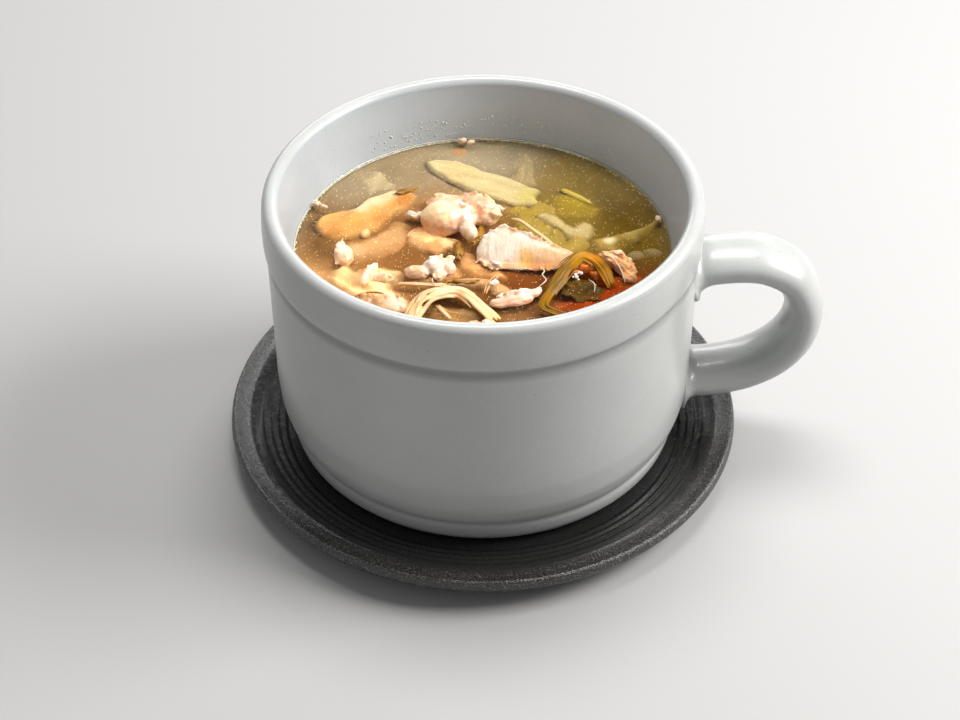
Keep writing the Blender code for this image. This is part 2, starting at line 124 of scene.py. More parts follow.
def points(mesh):
    flat = np.empty(len(mesh.vertices) * 3, np.float32)
    mesh.vertices.foreach_get("co", flat)
    return flat.reshape(-1, 3)


def setPoints(mesh, places):
    mesh.vertices.foreach_set("co", np.asarray(places, np.float32).ravel())
    mesh.update()


def largestBody(mesh):
    # torn bits that hang free are dropped
    shape = bmesh.new()
    shape.from_mesh(mesh)
    left = set(shape.verts)
    bodies = []
    while left:
        edge = {left.pop()}
        body = set(edge)
        while edge:
            edge = {e.other_vert(v) for v in edge for e in v.link_edges} - body
            body |= edge
        left -= body
        bodies.append(body)
    bodies.sort(key=len)
    bmesh.ops.delete(shape, geom=[v for body in bodies[:-1] for v in body], context="VERTS")
    shape.to_mesh(mesh)
    shape.free()
    return mesh


def through(path, perSpan):
    # a smooth curve through the given points
    ends = [path[0] * 2 - path[1], *path, path[-1] * 2 - path[-2]]
    curve = []
    for a, b, c, d in zip(ends, ends[1:], ends[2:], ends[3:]):
        for i in range(perSpan):
            t = i / perSpan
            curve.append((b * 2 + (c - a) * t + (a * 2 - b * 5 + c * 4 - d) * t * t
                          + (b * 3 - a - c * 3 + d) * t ** 3) / 2)
    curve.append(path[-1].copy())
    return curve


def closedThrough(path, perSpan):
    # the same for a closed outline
    count = len(path)
    curve = []
    for i in range(count):
        a, b, c, d = (path[(i + k) % count] for k in (-1, 0, 1, 2))
        for j in range(perSpan):
            t = j / perSpan
            curve.append((b * 2 + (c - a) * t + (a * 2 - b * 5 + c * 4 - d) * t * t
                          + (b * 3 - a - c * 3 + d) * t ** 3) / 2)
    return curve


def lathe(profile, steps):
    # a closed solid turned about the mug's axis from (radius, height) points
    shape = bmesh.new()
    rings = []
    for radius, height in profile:
        if radius < 1e-7:
            rings.append([shape.verts.new((setting["axisX"], 0, height))])
            continue
        ring = []
        for i in range(steps):
            angle = 2 * math.pi * i / steps
            ring.append(shape.verts.new((setting["axisX"] + radius * math.cos(angle),
                                         radius * math.sin(angle), height)))
        rings.append(ring)
    for upper, lower in zip(rings, rings[1:]):
        for i in range(steps):
            j = (i + 1) % steps
            if len(upper) == 1:
                shape.faces.new((upper[0], lower[i], lower[j]))
            elif len(lower) == 1:
                shape.faces.new((upper[i], lower[0], upper[j]))
            else:
                shape.faces.new((upper[i], lower[i], lower[j], upper[j]))
    bmesh.ops.recalc_face_normals(shape, faces=shape.faces)
    return shape


def rounded(profile, reach, count=4):
    # the profile with each corner eased over this reach
    eased = [profile[0]]
    for before, corner, after in zip(profile, profile[1:], profile[2:]):
        b, c, a = (Vector(p) for p in (before, corner, after))
        into = (b - c) * min(reach / max((b - c).length, 1e-9), 0.45)
        out = (a - c) * min(reach / max((a - c).length, 1e-9), 0.45)
        for i in range(count + 1):
            t = i / count
            eased.append(tuple((c + into) * (1 - t) ** 2 + c * 2 * t * (1 - t) + (c + out) * t * t))
    eased.append(profile[-1])
    return eased


def arcPoints(centre, radius, start, end, count):
    turns = [math.radians(start + (end - start) * i / count) for i in range(count + 1)]
    return [(centre[0] + radius * math.cos(a), centre[1] + radius * math.sin(a)) for a in turns]


def sweep(shape, path, radii, sides, flat=1.0):
    # a closed tube along the path, with a radius for each point
    rings = []
    last = len(path) - 1
    for i, point in enumerate(path):
        along = (path[min(i + 1, last)] - path[max(i - 1, 0)]).normalized()
        side = along.cross(Vector((0, 0, 1))).normalized()
        lift = side.cross(along)
        ring = []
        for k in range(sides):
            angle = 2 * math.pi * k / sides
            offset = side * math.cos(angle) + lift * math.sin(angle) * flat
            ring.append(shape.verts.new(point + offset * radii[i]))
        rings.append(ring)
    for low, high in zip(rings, rings[1:]):
        for k in range(sides):
            n = (k + 1) % sides
            shape.faces.new((low[k], low[n], high[n], high[k]))
    shape.faces.new(rings[0][::-1])
    shape.faces.new(rings[-1])


def tapered(count, radius):
    # radii that thin over the last points of a strand, to a share of the full one
    ends, run = 0.35, 4
    return [radius * min(ends + (1 - ends) * min(i, count - 1 - i) / run, 1) for i in range(count)]


# Nodes

def addNode(tree, kind, inputs=None, **values):
    node = tree.nodes.new(kind)
    for key, value in values.items():
        setattr(node, key, value)
    for key, value in (inputs or {}).items():
        if isinstance(value, bpy.types.NodeSocket):
            tree.links.new(value, node.inputs[key])
        else:
            node.inputs[key].default_value = value
    return node


def newGroup(name, inputs, outputs):
    tree = bpy.data.node_groups.new(name, "ShaderNodeTree")
    for label, kind, default in inputs:
        socket = tree.interface.new_socket(label, in_out="INPUT", socket_type=kind)
        socket.default_value = default
    for label, kind in outputs:
        tree.interface.new_socket(label, in_out="OUTPUT", socket_type=kind)
    return tree, tree.nodes.new("NodeGroupInput"), tree.nodes.new("NodeGroupOutput")


def placeGroup(tree, group, inputs):
    node = tree.nodes.new("ShaderNodeGroup")
    node.node_tree = group
    for key, value in inputs.items():
        if isinstance(value, bpy.types.NodeSocket):
            tree.links.new(value, node.inputs[key])
        else:
            node.inputs[key].default_value = value
    return node


def newMaterial(name, **values):
    material = bpy.data.materials.new(name)
    material.use_nodes = True
    tree = material.node_tree
    shader = tree.nodes["Principled BSDF"]
    for key, value in values.items():
        shader.inputs[key.replace("_", " ")].default_value = value
    return material, tree, shader


def fleshGroup():
    # colour and relief of wet, fibrous meat or plant, with the fibres along x
    tree, start, end = newGroup("wetFibre", [
        ("Color", "NodeSocketColor", (1, 1, 1, 1)), ("Vector", "NodeSocketVector", (0, 0, 0)),
        ("Fibre Scale", "NodeSocketFloat", 1400), ("Contrast", "NodeSocketFloat", 0.2),
        ("Blotch", "NodeSocketFloat", 0.12),
    ], [("Color", "NodeSocketColor"), ("Height", "NodeSocketFloat"), ("Gloss", "NodeSocketFloat")])
    stretched = addNode(tree, "ShaderNodeVectorMath", {0: start.outputs["Vector"], 1: (0.12, 1, 1)},
                        operation="MULTIPLY")
    fibres = addNode(tree, "ShaderNodeTexNoise", {
        "Vector": stretched.outputs[0], "Scale": start.outputs["Fibre Scale"], "Detail": 3.0,
        "Roughness": 0.6, "Distortion": 0.4})
    blotches = addNode(tree, "ShaderNodeTexNoise", {
        "Vector": start.outputs["Vector"], "Scale": 260.0, "Detail": 3.0, "Roughness": 0.55})
    fibreShift = addNode(tree, "ShaderNodeMath", {0: fibres.outputs["Fac"], 1: 0.5}, operation="SUBTRACT")
    fibreAmount = addNode(tree, "ShaderNodeMath", {
        0: fibreShift.outputs[0], 1: start.outputs["Contrast"]}, operation="MULTIPLY")
    blotchShift = addNode(tree, "ShaderNodeMath", {0: blotches.outputs["Fac"], 1: 0.5}, operation="SUBTRACT")
    blotchAmount = addNode(tree, "ShaderNodeMath", {
        0: blotchShift.outputs[0], 1: start.outputs["Blotch"]}, operation="MULTIPLY")
    both = addNode(tree, "ShaderNodeMath", {0: fibreAmount.outputs[0], 1: blotchAmount.outputs[0]})
    value = addNode(tree, "ShaderNodeMath", {0: both.outputs[0], 1: 2.0, 2: 1.0}, operation="MULTIPLY_ADD")
    shaded = addNode(tree, "ShaderNodeHueSaturation", {
        "Color": start.outputs["Color"], "Value": value.outputs[0]})
    tree.links.new(shaded.outputs["Color"], end.inputs["Color"])
    tree.links.new(fibres.outputs["Fac"], end.inputs["Height"])
    gloss = addNode(tree, "ShaderNodeMath", {0: both.outputs[0], 1: 0.32, 2: 0.32}, operation="MULTIPLY_ADD")
    tree.links.new(gloss.outputs[0], end.inputs["Gloss"])
    return tree


def veilGroup():
    # fades a surface into the cloudy broth as it goes deeper: its colour, its relief and its gloss
    tree, start, end = newGroup("brothVeil", [
        ("Color", "NodeSocketColor", (1, 1, 1, 1)), ("Broth", "NodeSocketColor", (0.3, 0.2, 0.1, 1)),
        ("Reach", "NodeSocketFloat", 0.006), ("Haze", "NodeSocketFloat", 0.0),
        ("Wet", "NodeSocketFloat", 0.4), ("Normal", "NodeSocketVector", (0, 0, 1)),
    ], [("Color", "NodeSocketColor"), ("Veil", "NodeSocketFloat"), ("Sunk", "NodeSocketFloat"),
        ("Coat", "NodeSocketFloat"), ("Normal", "NodeSocketVector")])
    where = addNode(tree, "ShaderNodeTexCoord")
    split = addNode(tree, "ShaderNodeSeparateXYZ", {0: where.outputs["Object"]})
    depth = addNode(tree, "ShaderNodeMath", {0: setting["soupTop"], 1: split.outputs["Z"]},
                    operation="SUBTRACT")
    below = addNode(tree, "ShaderNodeMath", {0: depth.outputs[0], 1: 0.0}, operation="MAXIMUM")
    share = addNode(tree, "ShaderNodeMath", {0: below.outputs[0], 1: start.outputs["Reach"]},
                    operation="DIVIDE")
    minus = addNode(tree, "ShaderNodeMath", {0: share.outputs[0], 1: -1.0}, operation="MULTIPLY")
    clear = addNode(tree, "ShaderNodeMath", {0: minus.outputs[0]}, operation="EXPONENT")
    unhazed = addNode(tree, "ShaderNodeMath", {0: 1.0, 1: start.outputs["Haze"]}, operation="SUBTRACT")
    left = addNode(tree, "ShaderNodeMath", {0: clear.outputs[0], 1: unhazed.outputs[0]}, operation="MULTIPLY")
    veil = addNode(tree, "ShaderNodeMath", {0: 1.0, 1: left.outputs[0]}, operation="SUBTRACT", use_clamp=True)
    # drifts of cloud in the broth itself
    cloud = addNode(tree, "ShaderNodeTexNoise", {
        "Vector": where.outputs["Object"], "Scale": 70.0, "Detail": 5.0, "Roughness": 0.6, "Distortion": 0.8})
    level = addNode(tree, "ShaderNodeMapRange", {
        "Value": cloud.outputs["Fac"], "From Min": 0.25, "From Max": 0.75, "To Min": 0.72, "To Max": 1.28})
    drift = addNode(tree, "ShaderNodeHueSaturation", {
        "Color": start.outputs["Broth"], "Value": level.outputs[0]})
    mixed = addNode(tree, "ShaderNodeMix", {
        0: veil.outputs[0], 6: start.outputs["Color"], 7: drift.outputs["Color"]}, data_type="RGBA")
    tree.links.new(mixed.outputs[2], end.inputs["Color"])
    tree.links.new(veil.outputs[0], end.inputs["Veil"])
    under = addNode(tree, "ShaderNodeMath", {0: depth.outputs[0], 1: 0.0}, operation="GREATER_THAN")
    tree.links.new(under.outputs[0], end.inputs["Sunk"])
    dry = addNode(tree, "ShaderNodeMath", {0: 1.0, 1: under.outputs[0]}, operation="SUBTRACT")
    coat = addNode(tree, "ShaderNodeMath", {0: dry.outputs[0], 1: start.outputs["Wet"]}, operation="MULTIPLY")
    tree.links.new(coat.outputs[0], end.inputs["Coat"])
    upright = addNode(tree, "ShaderNodeMix", {
        0: veil.outputs[0], 4: start.outputs["Normal"], 5: (0, 0, 1)}, data_type="VECTOR")
    unit = addNode(tree, "ShaderNodeVectorMath", {0: upright.outputs[1]}, operation="NORMALIZE")
    tree.links.new(unit.outputs[0], end.inputs["Normal"])
    return tree


def glazeGroup():
    # a fired glaze: faint mottling and iron specks
    tree, start, end = newGroup("firedGlaze", [
        ("Color", "NodeSocketColor", (0.4, 0.4, 0.4, 1)),
        ("Speck Color", "NodeSocketColor", (0.1, 0.08, 0.06, 1)),
        ("Speck Scale", "NodeSocketFloat", 900), ("Speck Share", "NodeSocketFloat", 0.3),
        ("Mottle", "NodeSocketFloat", 0.06),
    ], [("Color", "NodeSocketColor"), ("Height", "NodeSocketFloat"), ("Roughness", "NodeSocketFloat")])
    where = addNode(tree, "ShaderNodeTexCoord")
    cloud = addNode(tree, "ShaderNodeTexNoise", {
        "Vector": where.outputs["Object"], "Scale": 38.0, "Detail": 4.0, "Roughness": 0.6})
    grain = addNode(tree, "ShaderNodeTexNoise", {
        "Vector": where.outputs["Object"], "Scale": 2200.0, "Detail": 3.0, "Roughness": 0.7})
    cloudShift = addNode(tree, "ShaderNodeMath", {0: cloud.outputs["Fac"], 1: 0.5}, operation="SUBTRACT")
    grainShift = addNode(tree, "ShaderNodeMath", {0: grain.outputs["Fac"], 1: 0.5}, operation="SUBTRACT")
    both = addNode(tree, "ShaderNodeMath", {0: grainShift.outputs[0], 1: 1.8, 2: cloudShift.outputs[0]},
                   operation="MULTIPLY_ADD")
    value = addNode(tree, "ShaderNodeMath", {
        0: both.outputs[0], 1: start.outputs["Mottle"], 2: 1.0}, operation="MULTIPLY_ADD")
    shaded = addNode(tree, "ShaderNodeHueSaturation", {
        "Color": start.outputs["Color"], "Value": value.outputs[0]})
    cells = addNode(tree, "ShaderNodeTexVoronoi", {
        "Vector": where.outputs["Object"], "Scale": start.outputs["Speck Scale"], "Randomness": 1.0})
    near = addNode(tree, "ShaderNodeMapRange", {
        "Value": cells.outputs["Distance"], "From Min": 0.1, "From Max": 0.22, "To Min": 1.0, "To Max": 0.0})
    pick = addNode(tree, "ShaderNodeSeparateColor", {0: cells.outputs["Color"]})
    some = addNode(tree, "ShaderNodeMath", {0: pick.outputs[0], 1: start.outputs["Speck Share"]},
                   operation="LESS_THAN")
    speck = addNode(tree, "ShaderNodeMath", {0: near.outputs[0], 1: some.outputs[0]}, operation="MULTIPLY")
    dotted = addNode(tree, "ShaderNodeMix", {
        0: speck.outputs[0], 6: shaded.outputs["Color"], 7: start.outputs["Speck Color"]}, data_type="RGBA")
    tree.links.new(dotted.outputs[2], end.inputs["Color"])
    tree.links.new(grain.outputs["Fac"], end.inputs["Height"])
    rough = addNode(tree, "ShaderNodeMapRange", {
        "Value": cloud.outputs["Fac"], "From Min": 0.0, "From Max": 1.0, "To Min": 0.28, "To Max": 0.34})
    tree.links.new(rough.outputs[0], end.inputs["Roughness"])
    return tree


wetFibre = fleshGroup()
brothVeil = veilGroup()
firedGlaze = glazeGroup()


def addPiece(name, mesh, material, nodes=()):
    mesh.name = name
    mesh.materials.clear()
    mesh.materials.append(material)
    mesh.shade_smooth()
    obj = bpy.data.objects.new(name, mesh)
    scene.collection.objects.link(obj)
    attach(obj, "root")
    if nodes:
        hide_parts(*nodes)
    return obj


# The mug

mug = {
    "steps": 256,
    "rimRadius": 62.0 * mm, "rimHeight": 80.2 * mm, "lipInner": 57.3 * mm, "lipRise": 2.28 * mm,
    "bandRadius": 62.4 * mm, "bandGroove": 67.0 * mm, "bodyRadius": 61.6 * mm,
    "footGroove": 8.4 * mm, "footGrooveRadius": 58.0 * mm, "footRadius": 55.6 * mm,
    "floor": 8.0 * mm, "innerLow": 52.0 * mm, "innerCorner": 16.0 * mm,
    "handleReach": 100.0 * mm, "handleHalfWidth": 10.0 * mm, "handleHalfThickness": 5.6 * mm,
    "handleFillet": 3.6 * mm,
    # the inside colour is painted a shade cooler and paler, against the warm bounce light from the soup
    "color": tone(172, 174, 172), "insideBounceOffsetColor": tone(176, 183, 188), "speckColor": tone(120, 116, 106),
    "speckScale": 900.0, "speckShare": 0.008, "mottle": 0.18,
    "insideUpTo": 57.4 * mm, "outsideFrom": 58.2 * mm,   # radii between which the inside shade ends
}


def mugProfile():
    m, foot = mug, setting["mugFoot"]
    floor, top = foot + m["floor"], foot + m["rimHeight"]
    groove, footGroove = foot + m["bandGroove"], foot + m["footGroove"]
    corner = (m["innerLow"] - m["innerCorner"], floor + m["innerCorner"])
    lip = ((m["lipInner"] + m["rimRadius"]) / 2, top + 0.1 * mm)
    half = (m["rimRadius"] - m["lipInner"]) / 2
    lipArc = [(r, lip[1] + (z - lip[1]) * m["lipRise"] / half) for r, z in arcPoints(lip, half, 180, 0, 24)]
    body, wall = m["bodyRadius"], setting["wallRadius"]
    inside = [(0, floor), *arcPoints(corner, m["innerCorner"], -90, 0, 12),
              (m["innerLow"] + 1.1 * mm, foot + 44 * mm), (wall, setting["soupTop"]),
              (wall + 1.5 * mm, setting["soupTop"] + 9 * mm)]
    outside = [
        (m["bandRadius"], top - 4 * mm), (m["bandRadius"], groove + 3.4 * mm),
        (m["bandRadius"] - 0.35 * mm, groove + 1.5 * mm), (body - 0.35 * mm, groove + 0.2 * mm),
        (body - 0.35 * mm, groove - 0.6 * mm), (body, groove - 2.2 * mm),
        (body, foot + 24 * mm), (body - 0.5 * mm, foot + 16 * mm), (body - 1.7 * mm, foot + 11.4 * mm),
        (m["footGrooveRadius"] + 0.2 * mm, footGroove + 0.5 * mm),
        (m["footGrooveRadius"], footGroove - 0.2 * mm),
        (m["footGrooveRadius"] + 0.5 * mm, footGroove - 1.6 * mm),
        (m["footGrooveRadius"] + 0.1 * mm, foot + 3.4 * mm),
        (m["footRadius"] + 0.6 * mm, foot + 0.8 * mm), (m["footRadius"] - 0.8 * mm, foot),
        (m["footRadius"] - 6 * mm, foot), (m["footRadius"] - 7.5 * mm, foot + 1.5 * mm),
        (0, foot + 1.5 * mm),
    ]
    return rounded(inside + lipArc + outside, 1.3 * mm)


def handleMesh():
    m, foot = mug, setting["mugFoot"]
    body = m["bodyRadius"]
    bend = m["handleReach"] - m["handleHalfThickness"]
    inside = body - 3.2 * mm
    outline = [
        (inside, 56.2), (body + 1 * mm, 57.1), (body + 5 * mm, 58.2), (body + 13 * mm, 58.9),
        (bend - 12.6 * mm, 57.9), (bend - 5.0 * mm, 53.6), (bend - 0.9 * mm, 46.2), (bend, 38.6),
        (bend - 1.9 * mm, 31.0), (bend - 7.2 * mm, 24.0), (bend - 15.6 * mm, 18.8),
        (body + 8 * mm, 16.3), (body + 1 * mm, 15.7), (inside, 15.6),
    ]
    path = through([Vector((x, 0, foot + z * mm)) for x, z in outline], 10)
    fillet, sides = m["handleFillet"], 56
    shape = bmesh.new()
    rings = []
    for i, point in enumerate(path):
        along = (path[min(i + 1, len(path) - 1)] - path[max(i - 1, 0)]).normalized()
        out = Vector((along.z, 0, -along.x))
        ring = []
        for k in range(sides):
            angle = 2 * math.pi * k / sides
            across = math.sin(angle) * m["handleHalfWidth"]
            wall = math.sqrt(body ** 2 - across ** 2)
            away = min(max((point.x - wall + 0.35 * mm) / fillet, 0), 1)
            extra = fillet * (1 - math.sqrt(max(1 - (1 - away) ** 2, 0)))
            ring.append(shape.verts.new(
                point + out * math.cos(angle) * (m["handleHalfThickness"] + extra)
                + Vector((setting["axisX"], math.sin(angle) * (m["handleHalfWidth"] + extra), 0))))
        rings.append(ring)
    for low, high in zip(rings, rings[1:]):
        for k in range(sides):
            n = (k + 1) % sides
            shape.faces.new((low[k], low[n], high[n], high[k]))
    shape.faces.new(rings[0][::-1])
    shape.faces.new(rings[-1])
    bmesh.ops.recalc_face_normals(shape, faces=shape.faces)
    return meshOf(shape, "handle")


def joinedWith(mesh, other):
    tool = bpy.data.objects.new("joinTool", other)
    scene.collection.objects.link(tool)
    made = finished(mesh, [("BOOLEAN", {"operation": "UNION", "solver": "MANIFOLD", "object": tool})])
    bpy.data.objects.remove(tool, do_unlink=True)
    return made


def glazeMaterial():
    material, tree, shader = newMaterial("greyGlaze", Coat_Weight=0.2, Coat_Roughness=0.1)
    where = addNode(tree, "ShaderNodeTexCoord")
    # inside, the colour is painted a shade cooler and paler, set against the warm light bounced up from the
    # soup
    centred = addNode(tree, "ShaderNodeVectorMath", {
        0: where.outputs["Object"], 1: (-setting["axisX"], 0, 0)}, operation="ADD")
    flat = addNode(tree, "ShaderNodeVectorMath", {0: centred.outputs[0], 1: (1, 1, 0)}, operation="MULTIPLY")
    reach = addNode(tree, "ShaderNodeVectorMath", {0: flat.outputs[0]}, operation="LENGTH")
    within = addNode(tree, "ShaderNodeMapRange", {
        "Value": reach.outputs["Value"], "From Min": mug["insideUpTo"], "From Max": mug["outsideFrom"],
        "To Min": 1.0, "To Max": 0.0})
    shade = addNode(tree, "ShaderNodeMix", {
        0: within.outputs[0], 6: (*mug["color"], 1), 7: (*mug["insideBounceOffsetColor"], 1)}, data_type="RGBA")
    glaze = placeGroup(tree, firedGlaze, {
        "Color": shade.outputs[2], "Speck Color": (*mug["speckColor"], 1),
        "Speck Scale": mug["speckScale"], "Speck Share": mug["speckShare"], "Mottle": mug["mottle"]})
    # painted shade: by height, the colour is darkened in the groove under the band, in the foot groove and a
    # touch round the foot, and a faint painted highlight lightens the lip
    split = addNode(tree, "ShaderNodeSeparateXYZ", {0: where.outputs["Object"]})
    shadeByHeight = addNode(tree, "ShaderNodeValToRGB", {"Fac": addNode(tree, "ShaderNodeMapRange", {
        "Value": split.outputs["Z"], "From Min": 0.0, "From Max": 0.09}).outputs[0]})
    stops = [(0.0, 0.96), (0.150, 0.96), (0.160, 0.80), (0.168, 0.80), (0.19, 0.98), (0.78, 1.0),
             (0.808, 0.6), (0.82, 0.62), (0.84, 1.0), (0.93, 1.0), (0.97, 1.02)]
    elements = shadeByHeight.color_ramp.elements
    while len(elements) < len(stops):
        elements.new(0.5)
    for element, (at, level) in zip(elements, stops):
        element.position = at
        element.color = (level, level, level, 1)
    paintedShade = addNode(tree, "ShaderNodeMix", {0: 1.0, 6: glaze.outputs["Color"], 7: shadeByHeight.outputs["Color"]},
                     data_type="RGBA", blend_type="MULTIPLY")
    plain = addNode(tree, "ShaderNodeMix", {
        0: within.outputs[0], 6: paintedShade.outputs[2], 7: glaze.outputs["Color"]}, data_type="RGBA")
    tree.links.new(plain.outputs[2], shader.inputs["Base Color"])
    tree.links.new(glaze.outputs["Roughness"], shader.inputs["Roughness"])
    bump = addNode(tree, "ShaderNodeBump", {
        "Height": glaze.outputs["Height"], "Strength": 0.05, "Distance": 0.0001})
    tree.links.new(bump.outputs["Normal"], shader.inputs["Normal"])
    return material


greyGlaze = glazeMaterial()
mugMesh = joinedWith(meshOf(lathe(mugProfile(), mug["steps"]), "mugBody"), handleMesh())
mugPiece = addPiece("mugGlazed", mugMesh, greyGlaze, ["mug"])
mugPiece.data.set_sharp_from_angle(angle=math.radians(50))
print("mug and handle made")


# The saucer

saucer = {
    "steps": 288,
    "radius": 77.2 * mm, "rim": 10.7 * mm, "well": 6.0 * mm,
    "ridges": (60.4 * mm, 62.8 * mm, 65.1 * mm, 67.3 * mm), "ridgeRise": 0.62 * mm,
    "footRing": 48.0 * mm,
    "color": tone(27, 26, 25), "rimWearAndSheenColor": tone(150, 147, 144),
    "wearAndSheenFrom": 70.8 * mm, "wearAndSheenFully": 72.2 * mm,   # radii over which the rim's pale speckle sets in, partly wear and partly a painted sheen
}


def saucerProfile():
    s = saucer
    ridges = []
    for i, radius in enumerate(s["ridges"]):
        low = s["well"] + i * s["ridgeRise"]
        ridges += [(radius - 0.35 * mm, low), (radius + 0.35 * mm, low + s["ridgeRise"])]
    level = s["well"] + len(s["ridges"]) * s["ridgeRise"]
    top = [(0, s["well"]), (57.0 * mm, s["well"]), *ridges,
           (70.2 * mm, level + 0.9 * mm), (71.4 * mm, level + 0.6 * mm), (73.2 * mm, level + 0.9 * mm),
           (s["radius"] - 2.2 * mm, s["rim"] - 0.5 * mm), (s["radius"] - 1.2 * mm, s["rim"]),
           (s["radius"] - 0.5 * mm, s["rim"] - 0.6 * mm)]
    under = [(s["radius"], s["rim"] - 2.5 * mm), (s["radius"] - 0.8 * mm, s["rim"] - 4.0 * mm),
             (s["radius"] - 7.0 * mm, 4.4 * mm), (s["footRing"] + 10 * mm, 2.4 * mm),
             (s["footRing"] + 4 * mm, 1.8 * mm), (s["footRing"] + 2.4 * mm, 0),
             (s["footRing"] - 2.4 * mm, 0), (s["footRing"] - 4 * mm, 1.6 * mm), (0, 1.6 * mm)]
    return rounded(top + under, 0.5 * mm, 3)


def saucerMaterial():
    material, tree, shader = newMaterial("blackStoneware", Specular_IOR_Level=0.8)
    where = addNode(tree, "ShaderNodeTexCoord")
    split = addNode(tree, "ShaderNodeSeparateXYZ", {0: where.outputs["Object"]})
    offset = addNode(tree, "ShaderNodeMath", {0: split.outputs["X"], 1: setting["axisX"]},
                     operation="SUBTRACT")
    flat = addNode(tree, "ShaderNodeCombineXYZ", {0: offset.outputs[0], 1: split.outputs["Y"]})
    radius = addNode(tree, "ShaderNodeVectorMath", {0: flat.outputs[0]}, operation="LENGTH")
    rim = addNode(tree, "ShaderNodeMapRange", {
        "Value": radius.outputs["Value"], "From Min": saucer["wearAndSheenFrom"], "From Max": saucer["wearAndSheenFully"]})
    grain = addNode(tree, "ShaderNodeTexNoise", {
        "Vector": where.outputs["Object"], "Scale": 2600.0, "Detail": 3.0, "Roughness": 0.7})
    coarse = addNode(tree, "ShaderNodeTexNoise", {
        "Vector": where.outputs["Object"], "Scale": 420.0, "Detail": 3.0, "Roughness": 0.7})
    # pale speckle on the rim: partly wear, partly a painted sheen standing for its speckled highlights
    wearAndSheenGrain = addNode(tree, "ShaderNodeMapRange", {
        "Value": grain.outputs["Fac"], "From Min": 0.55, "From Max": 0.72})
    wearAndSheenShare = addNode(tree, "ShaderNodeMath", {0: wearAndSheenGrain.outputs[0], 1: rim.outputs[0]}, operation="MULTIPLY")
    color = addNode(tree, "ShaderNodeMix", {
        0: wearAndSheenShare.outputs[0], 6: (*saucer["color"], 1), 7: (*saucer["rimWearAndSheenColor"], 1)}, data_type="RGBA")
    tree.links.new(color.outputs[2], shader.inputs["Base Color"])
    rough = addNode(tree, "ShaderNodeMapRange", {
        "Value": coarse.outputs["Fac"], "From Min": 0.3, "From Max": 0.7, "To Min": 0.18, "To Max": 0.32})
    tree.links.new(rough.outputs[0], shader.inputs["Roughness"])
    relief = addNode(tree, "ShaderNodeMath", {0: grain.outputs["Fac"], 1: rim.outputs[0]},
                     operation="MULTIPLY")
    bump = addNode(tree, "ShaderNodeBump", {"Height": relief.outputs[0], "Strength": 0.6, "Distance": 0.0004})
    tree.links.new(bump.outputs["Normal"], shader.inputs["Normal"])
    return material


saucerMesh = meshOf(lathe(saucerProfile(), saucer["steps"]), "saucer")
saucerPiece = addPiece("saucerBlack", saucerMesh, saucerMaterial(), ["saucer"])
saucerPiece.data.set_sharp_from_angle(angle=math.radians(45))
print("saucer made")


# The broth: a clear layer over cloudy depths

broth = {
    "depth": 3.0, "shore": 0.6, "shoreRun": 2.2,   # how far down the cloud starts, and by the wall, mm
    "meniscus": 0.7, "meniscusRun": 0.6,           # how high the soup climbs the wall, mm
    "inset": 0.25,          # between the clear layer's sides and the cloud, mm
    "steps": 320, "openRings": 56, "edgeRings": 22, "depthSteps": 220, "depthRings": 80,
    "tint": (1.0, 0.93, 0.74),
    "level": 0.55,          # the cloud's brightness against the tones below
    "wallTone": (158, 142, 112), "wallShare": 0.45,
    # the cloud's tone round the bowl: x, y, tone
    "zones": [
        (-34, 34, (158, 140, 112)), (-50, 6, (114, 82, 42)), (0, 48, (172, 158, 134)),
        (34, 34, (144, 122, 64)), (48, 8, (122, 96, 14)), (24, 12, (136, 112, 46)),
        (-20, 6, (166, 112, 60)), (-3, -5, (162, 110, 58)), (-16, -5, (134, 92, 48)),
        (11, -17, (132, 72, 28)),
        (-34, -24, (204, 152, 96)), (-42, -12, (212, 160, 106)), (-32, -9, (154, 106, 58)),
        (-4, -32, (128, 86, 36)), (10, -33, (148, 106, 66)), (34, -24, (138, 46, 0)),
    ],
}


def zoneTones(places):
    # the cloud's own colour at each place, blended between the zones
    x = (places[:, 0] - setting["axisX"]) / mm
    y = places[:, 1] / mm
    total = np.zeros(len(places))
    mixed = np.zeros((len(places), 3))
    for zoneX, zoneY, shade in broth["zones"]:
        weight = 1 / ((x - zoneX) ** 2 + (y - zoneY) ** 2 + 40) ** 2
        total += weight
        mixed += weight[:, None] * np.array(tone(*shade))
    mixed /= total[:, None]
    # the pale wall shows faintly through the last millimetres
    near = np.exp(-np.maximum(setting["wallRadius"] / mm - np.hypot(x, y), 0) / 1.6) * broth["wallShare"]
    mixed = mixed * (1 - near[:, None]) + np.array(tone(*broth["wallTone"])) * near[:, None]
    return mixed * broth["level"]


def paint(mesh, name, colors):
    layer = mesh.color_attributes.new(name, "FLOAT_COLOR", "POINT")
    full = np.ones((len(mesh.vertices), 4), np.float32)
    full[:, :3] = colors
    layer.data.foreach_set("color", full.ravel())


def mark(mesh, name, values):
    layer = mesh.attributes.new(name, "FLOAT", "POINT")
    layer.data.foreach_set("value", np.asarray(values, np.float32))


def blendTo(tint, weight, shade):
    weight = np.clip(weight, 0, 1)[:, None]
    return tint * (1 - weight) + np.array(tone(*shade)) * weight


